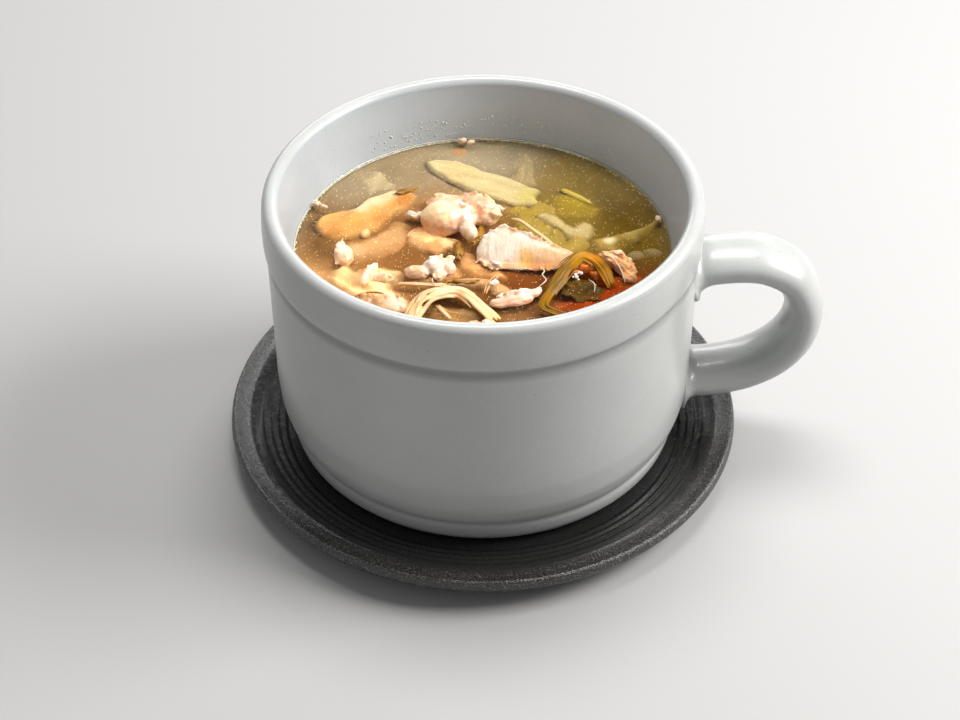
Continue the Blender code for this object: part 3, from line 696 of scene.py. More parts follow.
def paintPiece(mesh, base, patches=(), shadeInHollows=None, hollowShadeTone=(214, 138, 84), haze=None, level=0.75):
    # each patch is x, y, lift, reach, tone, share. The depth runs from 0 on the crests to 1 in the hollows:
    # the hollows get painted shade and the crests a painted highlight
    places = points(mesh)
    tint = np.tile(np.array(tone(*base)), (len(places), 1))
    for x, y, lift, reach, shade, share in patches:
        away = np.linalg.norm(places - np.array(inBowl(x, y, lift)), axis=1) / (reach * mm)
        ease = np.clip(1.35 - away, 0, 1)
        tint = blendTo(tint, share * ease * ease * (3 - 2 * ease), shade)
    if shadeInHollows is not None:
        shadeInHollows = np.asarray(shadeInHollows)
        # painted shade in the hollows, painted highlight on the crests
        tint = blendTo(tint, (shadeInHollows - 0.5) * 1.5, hollowShadeTone)
        tint = blendTo(tint, (0.36 - shadeInHollows) * 0.9, (255, 244, 228))
    paint(mesh, "tint", tint * level)
    paint(mesh, "murk", zoneTones(places))
    mark(mesh, "haze", np.zeros(len(places)) if haze is None else haze)


def polarGrid(radii, steps, lift):
    # an open disc whose height over the soup's level, in mm, is lift(x, y, radius in mm)
    shape = bmesh.new()
    centre = shape.verts.new(inBowl(0, 0, lift(0, 0, 0)))
    before = None
    for r in radii:
        ring = []
        for k in range(steps):
            angle = 2 * math.pi * k / steps
            x, y = r * math.cos(angle), r * math.sin(angle)
            ring.append(shape.verts.new(inBowl(x, y, lift(x, y, r))))
        for k in range(steps):
            n = (k + 1) % steps
            if before:
                shape.faces.new((before[k], ring[k], ring[n], before[n]))
            else:
                shape.faces.new((centre, ring[k], ring[n]))
        before = ring
    return shape, before


def closedBelow(shape, ring, inset=0.0):
    # walls from the disc's edge down to the mug's floor, following its inner wall
    outline = [
        (setting["wallRadius"] + 0.1 * mm, setting["soupTop"] - 1.5 * mm),
        (mug["innerLow"] + 1.2 * mm, setting["mugFoot"] + 44 * mm),
        *[(r, z) for r, z in arcPoints(
            (mug["innerLow"] - mug["innerCorner"], setting["mugFoot"] + mug["floor"] + mug["innerCorner"]),
            mug["innerCorner"] - 0.2 * mm, 0, -90, 6)],
    ]
    steps = len(ring)
    for radius, height in outline:
        below = []
        for k in range(steps):
            angle = 2 * math.pi * k / steps
            below.append(shape.verts.new((setting["axisX"] + (radius - inset) * math.cos(angle),
                                          (radius - inset) * math.sin(angle), height + inset)))
        for k in range(steps):
            n = (k + 1) % steps
            shape.faces.new((ring[k], below[k], below[n], ring[n]))
        ring = below
    shape.faces.new(ring[::-1])
    bmesh.ops.recalc_face_normals(shape, faces=shape.faces)


def surfaceLift(x, y, r):
    climb = broth["meniscus"] * math.exp(-max(bowlRadius - r, 0) / broth["meniscusRun"])
    return climb + 0.03 * noise.noise(Vector((x, y, 0)) / 7)


def depthsLift(x, y, r):
    shore = math.exp(-max(bowlRadius - r, 0) / broth["shoreRun"])
    rolling = 0.8 * noise.fractal(Vector((x, y, 3)) / 14, 1.0, 2.0, 2)
    return -(broth["depth"] * (1 - shore) + broth["shore"] * shore) + rolling * (1 - shore)


def clearMaterial():
    # lamps reach what is sunk: a shadow ray passes the surface unhindered
    material, tree, shader = newMaterial(
        "clearBroth", Base_Color=(*broth["tint"], 1), Roughness=0.02, IOR=1.333, Transmission_Weight=1.0,
        Specular_IOR_Level=0.16)
    out = tree.nodes["Material Output"]
    path = addNode(tree, "ShaderNodeLightPath")
    passing = addNode(tree, "ShaderNodeBsdfTransparent", {"Color": (1, 1, 1, 1)})
    mix = addNode(tree, "ShaderNodeMixShader", {
        0: path.outputs["Is Shadow Ray"], 1: shader.outputs[0], 2: passing.outputs[0]})
    tree.links.new(mix.outputs[0], out.inputs["Surface"])
    where = addNode(tree, "ShaderNodeTexCoord")
    ripple = addNode(tree, "ShaderNodeTexNoise", {
        "Vector": where.outputs["Object"], "Scale": 140.0, "Detail": 2.0})
    bump = addNode(tree, "ShaderNodeBump", {
        "Height": ripple.outputs["Fac"], "Strength": 0.12, "Distance": 0.0006})
    tree.links.new(bump.outputs["Normal"], shader.inputs["Normal"])
    return material


def depthsMaterial():
    material, tree, shader = newMaterial("cloudyBroth", Roughness=0.9, Specular_IOR_Level=0.02)
    murk = addNode(tree, "ShaderNodeVertexColor", layer_name="murk")
    veiled = placeGroup(tree, brothVeil, {
        "Color": murk.outputs["Color"], "Broth": murk.outputs["Color"], "Haze": 1.0, "Reach": 0.006})
    tree.links.new(veiled.outputs["Color"], shader.inputs["Base Color"])
    return material


# rings are close together where the surface climbs the wall
openRings, edgeRings, depthRings = broth["openRings"], broth["edgeRings"], broth["depthRings"]
openRadii = [(bowlRadius - 3) * i / openRings for i in range(1, openRings + 1)]
edgeRadii = [bowlRadius + 0.1 - 3.1 * (1 - i / edgeRings) ** 1.5 for i in range(1, edgeRings + 1)]
brothShape, brothEdge = polarGrid(openRadii + edgeRadii, broth["steps"], surfaceLift)
closedBelow(brothShape, brothEdge)
addPiece("brothClear", meshOf(brothShape, "broth"), clearMaterial(), ["broth"])
depthRadii = [(bowlRadius - 0.12) * i / depthRings for i in range(1, depthRings + 1)]
depthShape, depthEdge = polarGrid(depthRadii, broth["depthSteps"], depthsLift)
closedBelow(depthShape, depthEdge, broth["inset"] * mm)
depthMesh = meshOf(depthShape, "brothDepths")
paint(depthMesh, "murk", zoneTones(points(depthMesh)))
addPiece("brothDepths", depthMesh, depthsMaterial(), ["broth"])
print("broth made")


# Food materials

def foodMaterial(name, fibreTurn=0.0, fibreScale=1400.0, contrast=0.2, blotch=0.12, relief=0.5,
                 reach=4.0, subsurface=0.3, wet=0.4, rough=0.0, specular=0.3, radius=(1.0, 0.4, 0.2),
                 follows=None):
    material, tree, shader = newMaterial(
        name, Subsurface_Weight=subsurface, Subsurface_Radius=radius, Subsurface_Scale=0.0015,
        Coat_Roughness=0.12, Specular_IOR_Level=specular)
    tint = addNode(tree, "ShaderNodeVertexColor", layer_name="tint")
    murk = addNode(tree, "ShaderNodeVertexColor", layer_name="murk")
    haze = addNode(tree, "ShaderNodeAttribute", attribute_name="haze")
    if follows:
        course = addNode(tree, "ShaderNodeAttribute", attribute_name=follows).outputs["Vector"]
    else:
        where = addNode(tree, "ShaderNodeTexCoord")
        course = addNode(tree, "ShaderNodeMapping", {
            "Vector": where.outputs["Object"], "Rotation": (0, 0, math.radians(-fibreTurn))}).outputs[0]
    fibre = placeGroup(tree, wetFibre, {
        "Color": tint.outputs["Color"], "Vector": course, "Fibre Scale": fibreScale,
        "Contrast": contrast, "Blotch": blotch})
    bump = addNode(tree, "ShaderNodeBump", {
        "Height": fibre.outputs["Height"], "Strength": relief, "Distance": 0.0004})
    veiled = placeGroup(tree, brothVeil, {
        "Color": fibre.outputs["Color"], "Broth": murk.outputs["Color"], "Reach": reach * mm,
        "Haze": haze.outputs["Fac"], "Wet": wet, "Normal": bump.outputs["Normal"]})
    tree.links.new(veiled.outputs["Color"], shader.inputs["Base Color"])
    tree.links.new(veiled.outputs["Normal"], shader.inputs["Normal"])
    tree.links.new(veiled.outputs["Coat"], shader.inputs["Coat Weight"])
    dull = addNode(tree, "ShaderNodeMath", {
        0: veiled.outputs["Sunk"], 1: 0.55, 2: fibre.outputs["Gloss"]}, operation="MULTIPLY_ADD")
    total = addNode(tree, "ShaderNodeMath", {0: dull.outputs[0], 1: rough}, use_clamp=True)
    tree.links.new(total.outputs[0], shader.inputs["Roughness"])
    return material


# Lumps of chicken, each as x, y, lift, half length, half width, half height, turn, tip, and torn
# tatters as a path with their count, size, turn and spread. Crag and fibre are how deep both go in

def addLumps(shape, lumps):
    for x, y, lift, length, width, height, turn, tip in lumps:
        size = Matrix.Diagonal((length * mm, width * mm, height * mm, 1))
        turned = Matrix.Rotation(math.radians(turn), 4, "Z") @ Matrix.Rotation(math.radians(tip), 4, "X")
        bmesh.ops.create_icosphere(shape, subdivisions=4, radius=1.0,
                                   matrix=Matrix.Translation(inBowl(x, y, lift)) @ turned @ size)


def addTatters(shape, path, count, size, turn, spread, seed):
    # small torn flakes strung along a path of x, y, lift
    pick = random.Random(seed)
    line = through([Vector(p) for p in path], 12)
    for _ in range(count):
        at = line[pick.randrange(len(line))]
        place = inBowl(*(at + Vector([pick.uniform(-spread, spread) for _ in range(3)])))
        reach = size * pick.uniform(0.45, 1.3)
        scale = Matrix.Diagonal((reach * mm, reach * pick.uniform(0.3, 0.6) * mm,
                                 reach * pick.uniform(0.3, 0.55) * mm, 1))
        turned = Matrix.Rotation(math.radians(turn + pick.gauss(0, 28)), 4, "Z") \
            @ Matrix.Rotation(math.radians(pick.gauss(0, 30)), 4, "Y")
        bmesh.ops.create_icosphere(shape, subdivisions=2, radius=1.0,
                                   matrix=Matrix.Translation(place) @ turned @ scale)


def loft(shape, sections):
    # a torn block from (x, front, top, back) sections, each corner as (y, lift)
    bulge = 0.7   # how far the front swells between its corners, mm
    rings = []
    for x, front, top, back in sections:
        f, t, b = Vector(front), Vector(top), Vector(back)
        out = Vector((-(t - f).y, (t - f).x)).normalized()
        if out.x > 0:
            out = -out
        corners = [f, f.lerp(t, 0.3) + out * bulge, f.lerp(t, 0.7) + out * bulge, f.lerp(t, 0.96) + out * 0.2,
                   t, t.lerp(b, 0.4), b, b.lerp(f, 0.5) + Vector((0, -0.4))]
        outline = closedThrough([Vector((c.x, c.y, 0)) for c in corners], 4)
        rings.append([shape.verts.new(inBowl(x, q.x, q.y)) for q in outline])
    count = len(rings[0])
    for low, high in zip(rings, rings[1:]):
        for k in range(count):
            n = (k + 1) % count
            shape.faces.new((low[k], low[n], high[n], high[k]))
    shape.faces.new(rings[0][::-1])
    shape.faces.new(rings[-1])


def roughened(mesh, turn, crag, fibre, size, upright, smooth):
    # torn crags and fibres drawn into the surface; the depth of each point is handed back for the painted
    # shade in the hollows
    smooth = [(inBowl(*at) / mm, reach) for *at, reach in smooth]
    mesh.update()
    along = Matrix.Rotation(math.radians(-turn), 3, "Z")
    moved, shadeInHollows = [], []
    for vertex in mesh.vertices:
        place = vertex.co / mm
        run = along @ place
        if upright:   # fibres climb the front face
            key = Vector((run.x, run.y * 0.16, run.z * 0.16))
        else:
            key = Vector((run.x * 0.16, run.y, run.z))
        warp = noise.noise(place / 4.0) * 0.8
        lump = noise.fractal(place / size, 1.0, 2.0, 3)
        torn = 1 - abs(noise.noise(place / (size * 0.42))) * 2.2
        near, _ = noise.voronoi(key / 1.1 + Vector((warp, warp, 0)) * 0.4)
        strand = near[0] * 1.6 - 0.6
        fine = noise.noise(key / 0.4 + Vector((0, warp, 5)))
        calm = max([min(max(1.5 - (place - at).length / reach, 0), 1) for at, reach in smooth], default=0)
        share = 0.5 + (0.6 * lump - 0.12 * torn) * (1 - 0.85 * calm)
        moved.append((place - vertex.normal * (share * crag + (strand * 0.6 + fine * 0.4) * fibre)) * mm)
        shadeInHollows.append(share + strand * 0.2 * (1 - 0.6 * calm))
    setPoints(mesh, moved)
    return np.clip(shadeInHollows, 0, 1)


def makeMeat(s):
    shape = bmesh.new()
    addLumps(shape, s.get("lumps", ()))
    if "sections" in s:
        loft(shape, s["sections"])
    for number, tatter in enumerate(s.get("tatters", ())):
        addTatters(shape, *tatter, number + 3)
    mesh = largestBody(pressed(meshOf(shape, "lumps"), s["voxel"], s.get("soften", 2)))
    shadeInHollows = roughened(mesh, s["turn"], s["crag"], s["fibre"], s.get("size", 3.0), s.get("upright", False),
                     s.get("smooth", ()))
    paintPiece(mesh, s["tint"], s.get("patches", ()), shadeInHollows, s.get("hollowShadeTone", (214, 138, 84)),
               level=s.get("level", 0.84))
    material = foodMaterial(s["name"], fibreTurn=s["turn"] + (90 if s.get("upright") else 0),
                            **s.get("finish", {}))
    return addPiece(s["name"], mesh, material, s.get("nodes", ()))


meats = [
    {
        "name": "breastMeat", "nodes": ["chicken_breast"], "slot": "white_meat", "voxel": 0.26,
        "turn": -8, "upright": True, "crag": 0.3, "fibre": 0.13, "size": 3.6, "soften": 4, "level": 0.74,
        "smooth": [(5, -5, 3, 5.5), (12, -6, 2, 5), (19, -7, 1.5, 5)],
        "tint": (252, 232, 206), "hollowShadeTone": (232, 170, 122),
        "sections": [
            (-2.0, (-6.6, -1.4), (-3.2, 1.4), (-2.4, -2.4)), (-0.6, (-8.4, -1.7), (-1.4, 3.2), (-0.4, -2.6)),
            (1.6, (-9.6, -1.9), (0.2, 4.7), (1.4, -2.6)), (4.6, (-10.2, -2.0), (1.2, 5.5), (2.6, -2.6)),
            (8.0, (-10.4, -2.0), (1.0, 5.5), (2.4, -2.6)), (11.4, (-10.8, -2.0), (0.0, 4.9), (1.4, -2.6)),
            (14.6, (-11.2, -2.0), (-1.3, 4.0), (0.0, -2.6)), (18.0, (-11.0, -1.8), (-2.8, 3.1), (-1.6, -2.4)),
            (21.6, (-10.4, -1.5), (-3.7, 2.3), (-2.8, -2.2)), (25.0, (-9.2, -1.3), (-4.6, 1.5), (-4.2, -2.0)),
            (27.4, (-7.8, -1.2), (-5.8, 0.5), (-5.6, -1.8))],
        "tatters": [([(-0.6, -1.4, 3.2), (4.6, 1.2, 5.4), (8, 1.0, 5.4), (14.6, -1.3, 3.9), (21, -3.7, 2.2)],
                     70, 0.8, -8, 0.35),
                    ([(-1.6, -7.4, 0.2), (1.6, -9.6, -0.6), (5, -10.4, -0.8)], 26, 1.2, -60, 0.5),
                    ([(11, -10.8, -0.6), (15, -11.2, -0.6), (20, -10.8, -0.4)], 14, 0.9, -20, 0.4)],
        "patches": [(12.6, -8.4, 1.2, 3.6, (238, 176, 78), 0.85),
                    (11.6, -6.6, 2.6, 2.2, (244, 190, 104), 0.6),
                    (21.5, -7.6, 1, 8.0, (240, 180, 118), 0.85), (0.5, -8.6, 0, 3.4, (240, 186, 146), 0.7),
                    (9.0, 0.9, 5.2, 1.8, (226, 150, 84), 0.7), (14.4, -1.6, 4.0, 1.6, (220, 140, 96), 0.6),
                    (5, -6, 3, 5.0, (255, 242, 224), 0.7), (16, -11, -0.6, 4, (206, 124, 66), 0.7),
                    (7, -10.6, -0.8, 3.4, (226, 160, 118), 0.6)],
        "finish": {"contrast": 0.12, "relief": 0.4, "reach": 2.4, "fibreScale": 1500.0},
    },
    {
        "name": "knuckleMeat", "nodes": ["chicken_knuckle"], "slot": "pink_meat", "voxel": 0.28,
        "turn": 20, "crag": 0.55, "fibre": 0.12, "size": 3.6, "soften": 6, "level": 0.84,
        "smooth": [(-12.6, 11.0, 5, 5.6)],
        "tint": (250, 206, 158), "hollowShadeTone": (222, 140, 88),
        "lumps": [(-11.9, 10.4, 1.3, 6.6, 6.1, 5.7, -20, 0), (-7.4, 14.6, 1.8, 5.2, 2.6, 3.0, -24, 0),
                  (-5.2, 9.4, 1.6, 3.0, 4.6, 3.4, 8, 0), (-4.0, 4.9, 1.0, 2.6, 3.6, 2.8, 20, 0),
                  (-8.6, 20.4, -0.4, 8.6, 3.8, 2.5, -6, 0), (-1.0, 18.2, 0.6, 6.0, 3.8, 2.9, -22, 0),
                  (1.6, 13.4, 0.9, 3.8, 4.4, 3.1, -20, 0), (-1.6, 13.8, 0.2, 4.6, 4.6, 2.6, 0, 0),
                  (-16.6, 5.2, -2.8, 6.0, 4.8, 3.0, -28, 0), (-11.2, 2.0, -2.9, 5.0, 3.2, 2.6, -12, 0)],
        "tatters": [([(-7.6, 16, 4.0), (-5, 13, 4.2), (-4.4, 9, 3.8), (-3.4, 5, 2.4)], 20, 1.7, 100, 0.6),
                    ([(-14, 22, 0.8), (-7, 23, 1.2), (0, 21, 2.2), (5, 17, 1.6)], 14, 2.2, -10, 0.5),
                    ([(-2, 15, 3.2), (2, 13, 3.2), (4, 10.6, 2)], 12, 2.0, 40, 0.6),
                    ([(-19.6, 13.0, 0.2), (-17, 15.4, 0.6), (-14.6, 16.6, 0.8)], 14, 1.6, 20, 0.5)],
        # the three darker patches along the ball's lower edge, at (-17.4, 6.6), (-13, 4.9) and (-8.6, 6.2),
        # are painted shade in the creases round it
        "patches": [(-12.6, 11.2, 5, 6.6, (252, 226, 176), 0.95), (-17.4, 6.6, 2, 2.4, (232, 160, 104), 0.8),
                    (-13, 4.9, 2, 2.4, (230, 156, 100), 0.8), (-8.6, 6.2, 2.4, 2.0, (224, 140, 96), 0.8),
                    (-7.6, 12.4, 4.6, 1.6, (236, 170, 120), 0.7),
                    (-1.6, 11.6, 3.2, 2.2, (222, 140, 104), 0.8), (-8.4, 6.4, 2, 2.8, (240, 180, 146), 0.7),
                    (-5.5, 15.6, 4.4, 3.0, (255, 246, 230), 0.9), (-4.0, 9.0, 4, 3.4, (255, 242, 222), 0.9),
                    (-1.0, 17.0, 3, 2.4, (230, 160, 134), 0.6), (2.6, 14.0, 3, 2.6, (252, 230, 212), 0.8),
                    (-8, 22, 1, 5, (242, 196, 168), 0.6), (-16, 4, 0.5, 6, (246, 180, 120), 0.85),
                    (-3.6, 4.6, 2.6, 2.6, (252, 232, 206), 0.8)],
        "finish": {"contrast": 0.12, "relief": 0.35, "reach": 2.8, "fibreScale": 900.0, "blotch": 0.2},
    },
    {
        "name": "nuggetMeat", "nodes": ["chicken_nugget"], "slot": "white_meat", "voxel": 0.26,
        "turn": 5, "crag": 0.45, "fibre": 0.15, "size": 3.0, "soften": 4, "level": 0.82,
        "tint": (248, 208, 168), "hollowShadeTone": (230, 174, 126),
        "lumps": [(-18.4, -13.2, 0.1, 4.0, 2.6, 2.4, 6, 0), (-13.6, -11.6, 0.6, 3.8, 2.8, 2.8, -8, 0),
                  (-9.8, -11.8, 0.4, 2.4, 2.4, 2.4, 0, 0), (-12.4, -14.6, 0.2, 2.0, 2.2, 1.9, 60, 0)],
        "tatters": [([(-21, -13, 0.8), (-16, -11.6, 2.2), (-12, -10, 2.8), (-8.6, -10.4, 1.6)],
                     34, 1.5, 10, 0.9),
                    ([(-15.4, -14, 1.0), (-12.6, -16.2, 0.6), (-10.6, -14.0, 0.8)], 24, 1.1, 60, 0.6)],
        "patches": [(-19.5, -13.5, 1, 3.4, (230, 186, 140), 0.8), (-14.5, -12, 2.6, 3, (255, 244, 230), 0.9),
                    (-9.4, -11.6, 2, 2.4, (250, 220, 198), 0.7)],
        "finish": {"contrast": 0.14, "relief": 0.5, "reach": 2.2},
    },
    {
        "name": "flakeMeat", "nodes": ["chicken_flake"], "slot": "white_meat", "voxel": 0.24,
        "turn": 66, "crag": 0.3, "fibre": 0.2, "size": 2.8, "tint": (250, 222, 184),
        "lumps": [(-31.9, -14.6, 0.7, 5.0, 1.5, 2.3, 66, 0), (-28.2, -15.0, -0.3, 3.4, 2.0, 1.5, -4, 0)],
        "tatters": [([(-33.8, -18, 0.6), (-31.6, -14, 2.0), (-30.2, -10.6, 1.2)], 26, 1.2, 66, 0.4),
                    ([(-29, -14.6, 0.8), (-25.6, -15.4, 0.4)], 16, 1.0, 0, 0.5)],
        "patches": [(-26.8, -15, 0.5, 3.2, (230, 192, 144), 0.9)],
        "finish": {"contrast": 0.16, "relief": 0.6, "reach": 2.2},
    },
    {
        "name": "rodMeat", "nodes": ["chicken_rod"], "slot": "tan_meat", "voxel": 0.32,
        "turn": 40, "crag": 0.5, "fibre": 0.25, "tint": (244, 200, 148),
        "lumps": [(-39.6, -5.4, 0.1, 3.0, 4.4, 2.8, 10, 0), (-40.6, -1.4, -0.2, 1.7, 2.4, 2.0, 0, 0),
                  (-33.2, 0.6, -3.6, 9.4, 3.6, 2.9, 40, 0)],
        "tatters": [([(-41.4, -8.6, 0.4), (-40.4, -4.6, 2.2), (-40.6, 0.4, 1.2)], 34, 1.4, 80, 0.7)],
        "patches": [(-40, -3.4, 1.5, 4.6, (254, 224, 198), 0.9)],
        "finish": {"contrast": 0.1, "relief": 0.3, "reach": 2.6},
    },
    {
        "name": "frayedMeat", "nodes": ["chicken_frayed"], "slot": "pink_meat", "voxel": 0.24,
        "turn": 14, "crag": 0.3, "fibre": 0.25, "size": 2.8, "soften": 3, "tint": (244, 194, 162),
        "hollowShadeTone": (232, 160, 126),
        "lumps": [(8.2, -25.6, -0.3, 6.0, 2.4, 2.0, 12, 0), (13.4, -22.9, -0.1, 3.4, 1.5, 1.5, 28, 0),
                  (4.4, -26.6, -0.4, 2.8, 2.0, 1.6, 0, 0)],
        "tatters": [([(5, -24.6, 0.8), (10, -23.4, 1.2), (15.6, -21.4, 0.9)], 30, 1.2, 16, 0.4)],
        "patches": [(11.5, -22.8, 1.0, 2.6, (254, 234, 216), 0.9), (8.8, -24.3, 1.2, 0.9, (206, 66, 52), 0.8),
                    (15, -22, 1, 2.4, (248, 206, 170), 0.7)],
        "finish": {"contrast": 0.22, "relief": 0.6, "reach": 2.2},
    },
    {
        "name": "frontMeat", "nodes": ["chicken_front"], "slot": "white_meat", "voxel": 0.3,
        "turn": 0, "crag": 0.35, "fibre": 0.25, "tint": (242, 206, 166),
        "lumps": [(-0.4, -39.0, -0.4, 8.4, 3.6, 2.3, 0, 0), (6.4, -39.6, -0.6, 4.4, 2.8, 2.0, -14, 0)],
        "tatters": [([(-7, -38, 0.6), (0, -36.6, 1.2), (8, -38, 0.8)], 30, 1.2, 0, 0.6)],
        "finish": {"contrast": 0.12, "relief": 0.4, "reach": 2.6},
    },
    {
        "name": "sideMeat", "nodes": ["chicken_side"], "slot": "pink_meat", "voxel": 0.28,
        "turn": -20, "crag": 0.4, "fibre": 0.12, "size": 3.4, "soften": 5, "level": 0.68,
        "tint": (240, 180, 116),
        "hollowShadeTone": (236, 176, 128),
        "lumps": [(-31.4, -26.6, -0.4, 4.6, 2.8, 2.2, -36, 0), (-26.2, -28.6, 0.1, 4.4, 3.4, 2.4, -16, 0),
                  (-23.0, -28.0, 0.0, 2.6, 3.0, 2.2, 0, 0)],
        "tatters": [([(-34, -24, 0.8), (-29, -26.4, 1.4), (-22.6, -26, 1.8)], 40, 1.4, -20, 0.8)],
        "patches": [(-24, -28, 2, 3.4, (252, 222, 196), 0.7)],
        "finish": {"contrast": 0.1, "relief": 0.35, "reach": 2.4},
    },
    {
        "name": "shankMeat", "nodes": ["chicken_shank"], "slot": "tan_meat", "voxel": 0.24,
        "turn": -50, "crag": 0.3, "fibre": 0.4, "size": 2.6, "level": 0.95,
        "tint": (246, 186, 126), "hollowShadeTone": (228, 150, 80),
        "lumps": [(32.2, -7.6, -0.7, 3.2, 2.2, 1.7, -20, 0), (36.6, -8.6, 0.6, 3.4, 2.6, 2.8, -34, 0),
                  (39.6, -11.6, 0.5, 3.8, 2.6, 2.7, -48, 0), (41.0, -15.2, 0.1, 2.6, 2.0, 2.0, -60, 0)],
        "tatters": [([(33.6, -7.4, 1.4), (37, -8, 3.0), (40.4, -11, 2.6), (42, -15, 1.4)],
                     46, 1.7, -56, 0.6)],
        "patches": [(38, -7.5, 3, 2.6, (252, 224, 184), 0.8), (41, -12, 2.4, 2.0, (226, 160, 60), 0.6),
                    (37, -13, 0, 3.4, (206, 128, 86), 0.7)],
        "finish": {"contrast": 0.28, "relief": 0.7, "reach": 2.0},
    },
]
for meat in meats:
    makeMeat(meat)
print("chicken made")


# Strands, each as a path of x, y, lift with thin fibres laid beside each other: a fibre's offset
# is how far across, how far up and how thick, and its span is the share of the path it follows

def markCourse(mesh, centre):
    # for each point, how far along the strand it lies and how far out from its middle
    places = points(mesh).astype(np.float64)
    line = np.array(centre)
    nearest = np.argmin(((places[:, None, :] - line[None]) ** 2).sum(axis=2), axis=1)
    steps = np.vstack([line[1:] - line[:-1], line[-1:] - line[-2:-1]])
    length = np.concatenate([[0], np.cumsum(np.linalg.norm(steps[:-1], axis=1))])
    along = steps / np.linalg.norm(steps, axis=1)[:, None]
    away = places - line[nearest]
    ahead = (away * along[nearest]).sum(axis=1)
    side = np.stack([-along[:, 1], along[:, 0], np.zeros(len(along))], axis=1)
    side /= np.linalg.norm(side, axis=1)[:, None]
    across = (away * side[nearest]).sum(axis=1)
    layer = mesh.attributes.new("course", "FLOAT_VECTOR", "POINT")
    course = np.stack([length[nearest] + ahead, across, away[:, 2]], axis=1).astype(np.float32)
    layer.data.foreach_set("vector", course.ravel())


def fibreBundle(s):
    centre = through([inBowl(*point) for point in s["path"]], 8)
    shape = bmesh.new()
    last = len(centre) - 1
    for number, (across, lift, scale) in enumerate(s["offsets"]):
        fibre = []
        for i, point in enumerate(centre):
            along = centre[min(i + 1, last)] - centre[max(i - 1, 0)]
            side = Vector((-along.y, along.x, 0)).normalized()
            key = point / (6 * mm) + Vector((number * 3.7, 0, 0))
            sway = noise.noise(key) * s["wander"]
            rise = noise.noise(key + Vector((0, 9, 0))) * s["wander"] * 0.6
            fibre.append(point + side * (across + sway) * mm + Vector((0, 0, (lift + rise) * mm)))
        start, stop = s.get("spans", {}).get(number, (0, 1))
        part = fibre[int(start * last):int(stop * last) + 1]
        radii = tapered(len(part), s["radius"] * scale * mm)
        swell = [r * (1 + 0.25 * noise.noise(q / (3 * mm))) for r, q in zip(radii, part)]
        sweep(shape, part, swell, 12, s.get("flat", 1.0))
    mesh = pressed(outward(meshOf(shape, "fibres")), s["voxel"], 1)
    markCourse(mesh, centre)
    return mesh


